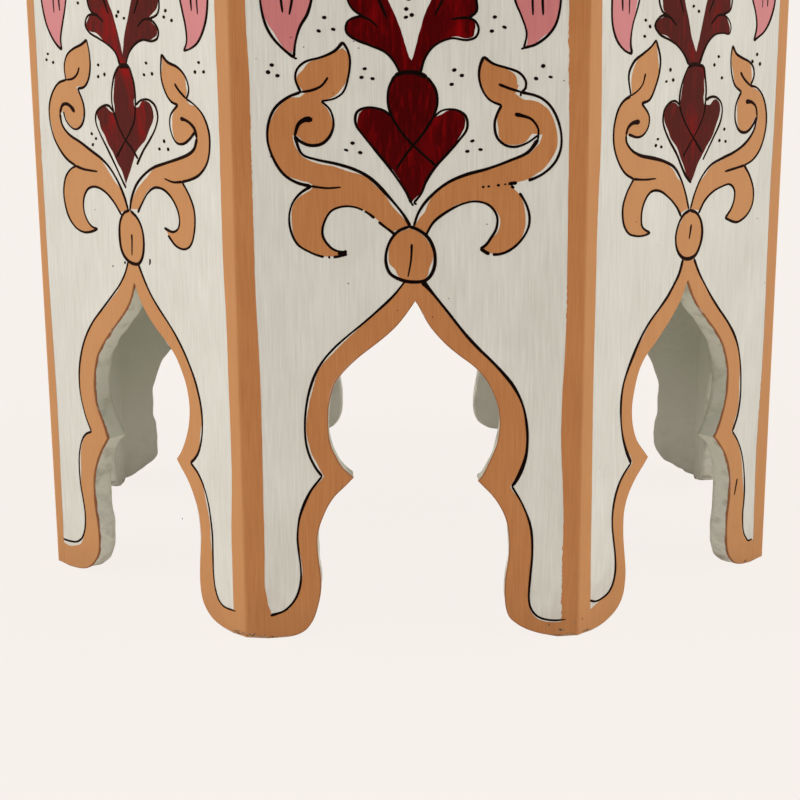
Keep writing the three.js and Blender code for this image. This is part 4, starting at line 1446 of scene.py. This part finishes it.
def ornament(hand, drawing, whole=True):
    """One ornament's patches and brush lines. The whole one has leaves and dots above the palmette."""
    palmette = drawing["palmette"]
    tan = [scroll_fill(hand, scroll) for scroll in drawing["scrolls"]]
    tan.append(hand.fill(drawing["bud"], inset=0.6))
    red = [palmette_fill(hand, palmette)]
    lines = [(drawing["bud"], BUD_LINE), (drawing["bud_vein"], VEIN_LINE)]
    for scroll in drawing["scrolls"]:
        lines.append((scroll["stem"], STEM_LINE))
        lines += [(scroll[part], LINE) for part in SCROLL_OUTLINE]
        lines.append((scroll["eye"], scroll.get("eye_widths", EYE_LINE)))
        lines += [(scroll[part], VEIN_LINE) for part in ("vein", "tail")]
    lines.append((palmette["cap"], CAP_LINE))
    lines += [(palmette[part], LINE) for part in PALMETTE_OUTLINE]
    strokes = [(hand.line(points), widths) for points, widths in lines]
    strokes += [
        (dot_stroke(hand, dot), DOT_LINE) for dot in drawing["dots"] if whole or dot[1] < PALMETTE_TOP
    ]
    if whole:
        red.append(leaves_fill(hand, *drawing["leaves"]))
        for leaf in drawing["leaves"]:
            strokes += [(hand.line(leaf[part]), LINE) for part in ("lower", "upper")]
            strokes += [(hand.line(vein), VEIN_LINE) for vein in leaf["veins"]]
    return tan, red, strokes


def border_fill(hand, drawing, arch):
    """The tan border between the sawn arch and the black line over it, down to the feet."""
    low = ARRIS_RADIUS - 0.1
    edge = hand.beside(arch, low, roughness=0.12, shifted=False)
    left = hand.beside(hand.chain(*drawing["border_left"]), 0.4)
    right = hand.beside(hand.chain(*drawing["border_right"])[::-1], 0.4)
    left += drawing["turn_up"]
    left_foot = [(-PAINT_END, left[-1][1]), (-PAINT_END, low + CORNER_WEAR)]
    right_foot = [(PAINT_END, low + CORNER_WEAR), (PAINT_END, right[0][1])]
    return left + left_foot + edge + right_foot + right


def header_fill(header):
    """The tan band over the header line, up to the upper edge."""
    top = [(PAINT_END, PAINT_TOP), (-PAINT_END, PAINT_TOP), (-PAINT_END, header[0][1])]
    return top + header + [(PAINT_END, header[-1][1])]


def chip(hand, u, z, half_width, half_height):
    """A ragged little place where the paint came off."""
    outline = []
    for n in range(CHIP_POINTS):
        turn = 2 * math.pi * n / CHIP_POINTS
        across, up = math.cos(turn), math.sin(turn)
        ragged = 1 + CHIP_RAGGEDNESS * hand.wander(across * 9 + u, up * 9 + z, *CHIP_EDGE).x
        across, up = half_width * across * ragged, half_height * up * ragged
        outline.append((u + across, max(z + up, ARRIS_RADIUS - 0.2)))
    return outline


def add_paint(pieces, place_of, matrix):
    """Sets painted pieces in place. Each comes with its slot, which is not used, and its paint."""
    for piece, slot, paint in pieces:
        mark_place(piece, place_of)
        put(piece, matrix)
        finish_piece(piece, slot, paint)


def petal_strokes(hand, petal):
    strokes = []
    for part in ("outer", "inner"):
        strokes.append((hand.chain(petal[part], turned_over(petal[part])[::-1]), LINE))
    veins = petal["veins"] + [turned_over(vein) for vein in petal["veins"]]
    return strokes + [(hand.line(vein), PETAL_VEIN_LINE) for vein in veins]


def add_side_paint(k, drawing, hand, arch):
    """Everything painted on side number k, as one piece for each paint."""
    hand.missed = drawing["missed"]
    hand.dry = drawing["dry"]
    tan, red, strokes = ornament(hand, drawing)
    upper_hand = Hand(hand.seed + 20, 0.9, hand.shift, hand.weight)
    upper_tan, upper_red, upper_strokes = ornament(upper_hand, drawing)
    tan += [turned_over(outline) for outline in upper_tan]
    red += [turned_over(outline) for outline in upper_red]
    strokes += [(turned_over(points), widths) for points, widths in upper_strokes]
    strokes += [(hand.line(mark), VEIN_LINE) for mark in drawing["marks"]]
    tan.append(hand.fill(LOZENGE))
    strokes.append((hand.line(LOZENGE), LINE))
    for petal in drawing["petals"]:
        strokes += petal_strokes(hand, petal)
    borders = zip(drawing["border_left"] + drawing["border_right"], drawing["border_widths"])
    strokes += [(hand.line(part), widths) for part, widths in borders]
    strokes += [(dot_stroke(hand, speck, SPECK_REACH), SPECK_LINE) for speck in drawing["specks"]]
    header = hand.line(HEADER_LINE)
    strokes.append((header, LINE))
    border = [border_fill(hand, drawing, arch), header_fill(header)]
    chips = [chip(hand, *place) for place in drawing["chips"]]
    pink = [petal_fill(hand, petal) for petal in drawing["petals"]]
    side = SIDES[k]
    add_paint([
        (paint_films(f"{side}_border", border, BORDER_LEVEL), "tan_paint", tan_paint),
        (paint_films(f"{side}_chips", chips, CHIP_LEVEL), "bare_wood", chipped_wood),
        (paint_films(f"{side}_scrolls", tan), "tan_paint", tan_paint),
        (paint_films(f"{side}_palmettes", red), "red_paint", red_paint),
        (paint_films(f"{side}_petals", pink), "pink_paint", pink_paint),
        (line_work(f"{side}_brush_lines", strokes, hand), "black_line", black_paint),
    ], place_on_side(k), side_place(k))


HANDS = {
    0: (FRONT, Hand(1, 0, (0, -0.1), 1.0)),
    1: (FRONT_RIGHT, Hand(2, 0, (0, -0.1), 1.05)),
    2: (FRONT, Hand(3, 1.6, (0.2, 0.4), 0.9)),
    3: (FRONT_LEFT, Hand(4, 1.5, (-0.4, -0.3), 1.0)),
    4: (FRONT_RIGHT, Hand(5, 1.6, (0.5, 0.2), 0.95)),
    5: (FRONT, Hand(6, 1.5, (-0.3, 0.4), 0.9)),
    6: (FRONT_LEFT, Hand(7, 1.7, (0.4, 0.1), 1.0)),
    7: (FRONT_LEFT, Hand(8, 0, (0.1, 0.1), 1.05)),
}

for k, (drawing, hand) in HANDS.items():
    add_side_paint(k, drawing, hand, add_board(k, drawing, hand))


# The tan bands over the eight corners

BAND_ROWS = 560
BAND_THICKNESS = 0.12
BAND_COLUMNS = (-1, -0.82, -0.55, -0.3, -0.17, -0.09, -0.05, 0, 0.05, 0.09, 0.17, 0.3, 0.55, 0.82, 1)
BAND_FOOT = CORNER_WEAR + 0.2
BAND_SMOOTH_TURN = 30
RIMS_APART = 40


def corner_point(along, z, level):
    """A point on the rounded corner, by its way round from the middle, its height and its level."""
    arc = CORNER_ROUNDING * HALF_TURN
    centre = (APOTHEM - CORNER_ROUNDING) / math.cos(HALF_TURN)
    turn = max(-HALF_TURN, min(HALF_TURN, along / CORNER_ROUNDING))
    beyond = along - max(-arc, min(arc, along))
    across = (CORNER_ROUNDING + level) * math.sin(turn) + beyond * math.cos(turn)
    out = centre + (CORNER_ROUNDING + level) * math.cos(turn) - abs(beyond * math.sin(turn))
    return Vector((across, -out, z)) * MM


def reach_at(rim, z):
    """How far a rim reaches at a height, smoothly between the given heights."""
    for (low, start), (high, end) in zip(rim, rim[1:]):
        if z <= high:
            t = (z - low) / (high - low)
            return start + (end - start) * t * t * (3 - 2 * t)
    return rim[-1][1]


def unevenness(hand, c, side, z):
    """A rim's waver: slight all along, and bitten where the brush ran dry."""
    def waver(period):
        return hand.wander(side * RIMS_APART, z, period).x
    ragged = sum(
        depth * math.exp(-((z - at) / reach)**2)
        for at, reach, depth in RAGGED.get((c, side), USUAL_RAGGED)
    )
    return (waver(5) * 0.5 + waver(1.6) * 0.9) * ragged + waver(7) * 0.15


def add_corner_band(c):
    """The band over the corner between side c and the next, its rims as uneven as a brush leaves them."""
    hand = Hand(30 + c)
    left_rim, right_rim = BAND_RIMS.get(c, USUAL_BAND_RIMS)
    columns = len(BAND_COLUMNS)
    deselect()
    bpy.ops.mesh.primitive_grid_add(x_subdivisions=columns - 1, y_subdivisions=BAND_ROWS, size=1)
    band = bpy.context.object
    rename(band, f"corner_band_{c + 1}")
    places = band.data.attributes.new("place", "FLOAT_VECTOR", "POINT")
    for vertex, place in zip(band.data.vertices, places.data):
        share = BAND_COLUMNS[round((vertex.co.x + 0.5) * (columns - 1))]
        z = BAND_FOOT + (vertex.co.y + 0.5) * (PAINT_TOP - BAND_FOOT)
        side = math.copysign(1, share)
        reach = reach_at(left_rim if share < 0 else right_rim, z)
        along = share * reach + side * share**4 * unevenness(hand, c, side, z)
        vertex.co = corner_point(along, z, BAND_LEVEL)
        place.vector = Vector((along + 100 * (c + 1), z, 0)) * MM
    apply_modifier(band, "SOLIDIFY", thickness=BAND_THICKNESS * MM, offset=-1)
    smooth_up_to(band, BAND_SMOOTH_TURN)
    put(band, Matrix.Rotation((c + 0.5) * SIDE_TURN, 4, "Z"))
    finish_piece(band, "tan_paint", tan_paint)


for c in range(8):
    add_corner_band(c)


# The top: three planks cut from one eight-sided slab, and what is painted on it

TOP_ARRIS = 3
TOP_CORNER_ROUNDING = 2
TOP_SMOOTH_TURN = 24
GLUE_LINE = 0.3
TOP_BORDER = 14
MOTIF_START = 94
MOTIF_BUD = 192
MOTIF_SCALE = 0.7
ROSETTE_RADIUS = 16.5
ROSETTE_RING = 17
ROSETTE_PETAL = [(21, 0), (30, 5.5), (42, 11.5), (54, 12.5), (62, 8), (68, 0)]
TOP_OFFSET = (4.1, 1.0, 0)


def make_slab():
    deselect()
    radius = TOP_APOTHEM / math.cos(HALF_TURN) * MM
    depth = (TOP_SURFACE - TOP_UNDERSIDE) * MM
    middle = (TOP_SURFACE + TOP_UNDERSIDE) / 2 * MM
    bpy.ops.mesh.primitive_cylinder_add(vertices=8, radius=radius, depth=depth, location=(0, 0, middle))
    slab = bpy.context.object
    slab.rotation_euler.z = HALF_TURN
    bpy.ops.object.transform_apply(location=True, rotation=True, scale=True)
    bpy.ops.object.mode_set(mode="EDIT")
    select_edges(slab, lambda a, b: abs(a.z - b.z) > 1)
    bpy.ops.mesh.bevel(offset=TOP_CORNER_ROUNDING * MM, segments=3, affect="EDGES")
    select_edges(slab, lambda a, b: abs(a.z - b.z) < LEVEL)
    bpy.ops.mesh.bevel(offset=TOP_ARRIS * MM, segments=4, affect="EDGES")
    leave_edit()
    return slab


def add_planks():
    slab = make_slab()
    joint = PLANK_JOINT + GLUE_LINE / 2
    near = joint - GLUE_LINE
    cuts = {
        "left": [((-joint, 0, 0), (1, 0, 0))],
        "middle": [((-near, 0, 0), (-1, 0, 0)), ((near, 0, 0), (1, 0, 0))],
        "right": [((joint, 0, 0), (-1, 0, 0))],
    }
    for name, planes in cuts.items():
        plank = copy_of(slab, f"{name}_plank")
        edit(plank)
        for at, normal in planes:
            bisect_off(at, normal)
        leave_edit()
        for face in plank.data.polygons:
            high = face.center.z / MM > TOP_SURFACE - 0.05
            under = face.normal.z < -0.5
            cut = abs(face.normal.x) > 0.99 and abs(face.center.x) / MM < PLANK_JOINT + 1
            face.material_index = 0 if high else 2 if under or cut else 1
        mark_place(plank, place_on_top)
        smooth_up_to(plank, TOP_SMOOTH_TURN)
        finish_piece(plank, "painted_top", ground_paint, tan_paint, bare_wood)
        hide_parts(f"top_plank_{name}")
    bpy.data.objects.remove(slab)


def turned(point, turn):
    """A point out from the middle of the top and across, turned round the middle."""
    out, across = point
    sine, cosine = math.sin(turn), math.cos(turn)
    return (out * sine + across * cosine, -out * cosine + across * sine)


def octagon(apothem, hand):
    corners = [turned((apothem / math.cos(HALF_TURN), 0), (c + 0.5) * SIDE_TURN) for c in range(9)]
    return hand.chain(*[[a, b] for a, b in zip(corners, corners[1:])])[:-1]


def on_top(k, points):
    """From a side's drawing to one eighth of the top, the bud towards the middle."""
    laid = [(MOTIF_START + (z - MOTIF_BUD) * MOTIF_SCALE, -u * MOTIF_SCALE) for u, z in points]
    return [turned(point, k * SIDE_TURN) for point in laid]


def rosette_petal(n):
    """One petal of the rosette in the middle of the top: its two edges."""
    turn = (n + 0.5) * SIDE_TURN
    other = [(out, -across) for out, across in ROSETTE_PETAL[::-1]]
    return [[turned(point, turn) for point in edge] for edge in (ROSETTE_PETAL, other)]


def circle(radius, hand):
    count = round(2 * math.pi * radius / LINE_STEP)
    return [hand.point(turned((radius, 0), 2 * math.pi * n / count)) for n in range(count)]


def add_top_paint():
    hand = Hand(60, 0.9, (0.3, -0.2))
    rim = octagon(TOP_APOTHEM - TOP_ARRIS + 0.2, Hand(61))
    inner = octagon(TOP_APOTHEM - TOP_BORDER, hand)
    border = as_mesh("top_border", [film("top_border", [rim, inner], BORDER_LEVEL)])
    strokes = [(inner + inner[:1], LINE)]
    tan, red, pink = [], [], []
    for k in range(8):
        drawing = (FRONT, FRONT_LEFT, FRONT_RIGHT)[k % 3]
        own_tan, own_red, own_strokes = ornament(Hand(70 + k, 1.3, (0.3, 0.2)), drawing, whole=False)
        tan += [on_top(k, outline) for outline in own_tan]
        red += [on_top(k, outline) for outline in own_red]
        strokes += [(on_top(k, points), widths) for points, widths in own_strokes]
        edges = rosette_petal(k)
        (red if k % 2 else pink).append(hand.fill(*edges))
        strokes.append((hand.chain(*edges), LINE))
    tan.append(circle(ROSETTE_RADIUS, hand))
    ring = circle(ROSETTE_RING, Hand(62, 0.8))
    strokes.append((ring + ring[:1], BUD_LINE))
    add_paint([
        (border, "tan_paint", tan_paint),
        (paint_films("top_scrolls", tan), "tan_paint", tan_paint),
        (paint_films("top_palmettes", red), "red_paint", red_paint),
        (paint_films("top_petals", pink), "pink_paint", pink_paint),
        (line_work("top_brush_lines", strokes, hand), "black_line", black_paint),
    ], place_on_top, Matrix.Translation((0, 0, TOP_SURFACE * MM)))


add_planks()
add_top_paint()


# Blocks and battens under the top, nails and screws

WOOD_ARRIS = 0.6
SAWN_TURN = math.radians(40)
ALONG = {"X": lambda point: point.yxz, "Z": lambda point: point.xzy}


def dress_wood(node, name, along):
    """A block or batten with its sawn arrises taken off. Its grain runs along the given axis."""
    piece = copy_of(frame["nodes"][node], name)
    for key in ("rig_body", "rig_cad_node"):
        del piece[key]
    piece.parent = None
    piece.data.materials.clear()
    edit(piece)
    bpy.ops.mesh.remove_doubles(threshold=MERGED)
    bpy.ops.mesh.dissolve_limited(angle_limit=math.radians(1))
    leave_edit()
    apply_modifier(
        piece, "BEVEL", width=WOOD_ARRIS * MM, segments=2, limit_method="ANGLE", angle_limit=SAWN_TURN,
    )
    mark_place(piece, ALONG[along])
    finish_piece(piece, "bare_wood", bare_wood)
    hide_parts(node)


for n in range(1, 9):
    dress_wood(f"corner_block_{n}", f"glue_block_{n}", "Z")
for end in ("front", "back"):
    dress_wood(f"top_batten_{end}", f"{end}_batten", "X")

for name, node in frame["nodes"].items():
    if "nail" in name or "brad" in name or "screw" in name:
        node.data.materials.clear()
        node.data.materials.append(steel)


# Floor, light and background

BACKGROUND = srgb(247, 241, 236)
FLOOR_SIZE = 60
LEFT_SUN_STRENGTH = 1.9
RIGHT_SUN_STRENGTH = LEFT_SUN_STRENGTH * 0.86
SUN_ELEVATION = 35
SUN_AZIMUTH = 82
SUN_ANGLE = 60
WORLD_STRENGTH = 0.38
FLOOR_SHADE = 0.035


def add_floor():
    deselect()
    bpy.ops.mesh.primitive_plane_add(size=FLOOR_SIZE)
    floor = bpy.context.object
    floor.name = "pale_floor"
    material = bpy.data.materials.new("pale_floor")
    material.use_nodes = True
    tree = material.node_tree
    tree.nodes.clear()
    seen = add_node(tree, "ShaderNodeLightPath").outputs["Is Camera Ray"]
    plain = add_node(tree, "ShaderNodeBsdfDiffuse", {"Color": BACKGROUND}).outputs[0]
    glow = add_node(tree, "ShaderNodeEmission", {"Color": BACKGROUND}).outputs[0]
    share = calculate(tree, "MULTIPLY", seen, 1 - FLOOR_SHADE)
    mixed = add_node(tree, "ShaderNodeMixShader", {0: share, 1: plain, 2: glow}).outputs[0]
    add_node(tree, "ShaderNodeOutputMaterial", {"Surface": mixed})
    floor.data.materials.append(material)


def add_sun(name, side, strength):
    bpy.ops.object.light_add(type="SUN", location=(side, -1, 2))
    sun = bpy.context.object
    sun.name = name
    sun.rotation_euler = (math.radians(90 - SUN_ELEVATION), 0, math.radians(side * SUN_AZIMUTH))
    sun.data.angle = math.radians(SUN_ANGLE)
    sun.data.energy = strength


def set_world():
    world = bpy.data.worlds.new("studio")
    world.use_nodes = True
    bpy.context.scene.world = world
    tree = world.node_tree
    tree.nodes.clear()
    path = add_node(tree, "ShaderNodeLightPath").outputs
    shown = calculate(tree, "MAXIMUM", path["Is Camera Ray"], path["Is Glossy Ray"])
    shown = calculate(tree, "MAXIMUM", shown, path["Is Transmission Ray"])
    white = {"Strength": WORLD_STRENGTH, "Color": (1, 1, 1, 1)}
    light = add_node(tree, "ShaderNodeBackground", white).outputs[0]
    backdrop = add_node(tree, "ShaderNodeBackground", {"Color": BACKGROUND}).outputs[0]
    mixed = add_node(tree, "ShaderNodeMixShader", {0: shown, 1: light, 2: backdrop}).outputs[0]
    add_node(tree, "ShaderNodeOutputWorld", {"Surface": mixed})


add_floor()
add_sun("left_softbox", -1, LEFT_SUN_STRENGTH)
add_sun("right_softbox", 1, RIGHT_SUN_STRENGTH)
set_world()
bpy.context.scene.view_settings.view_transform = "Standard"
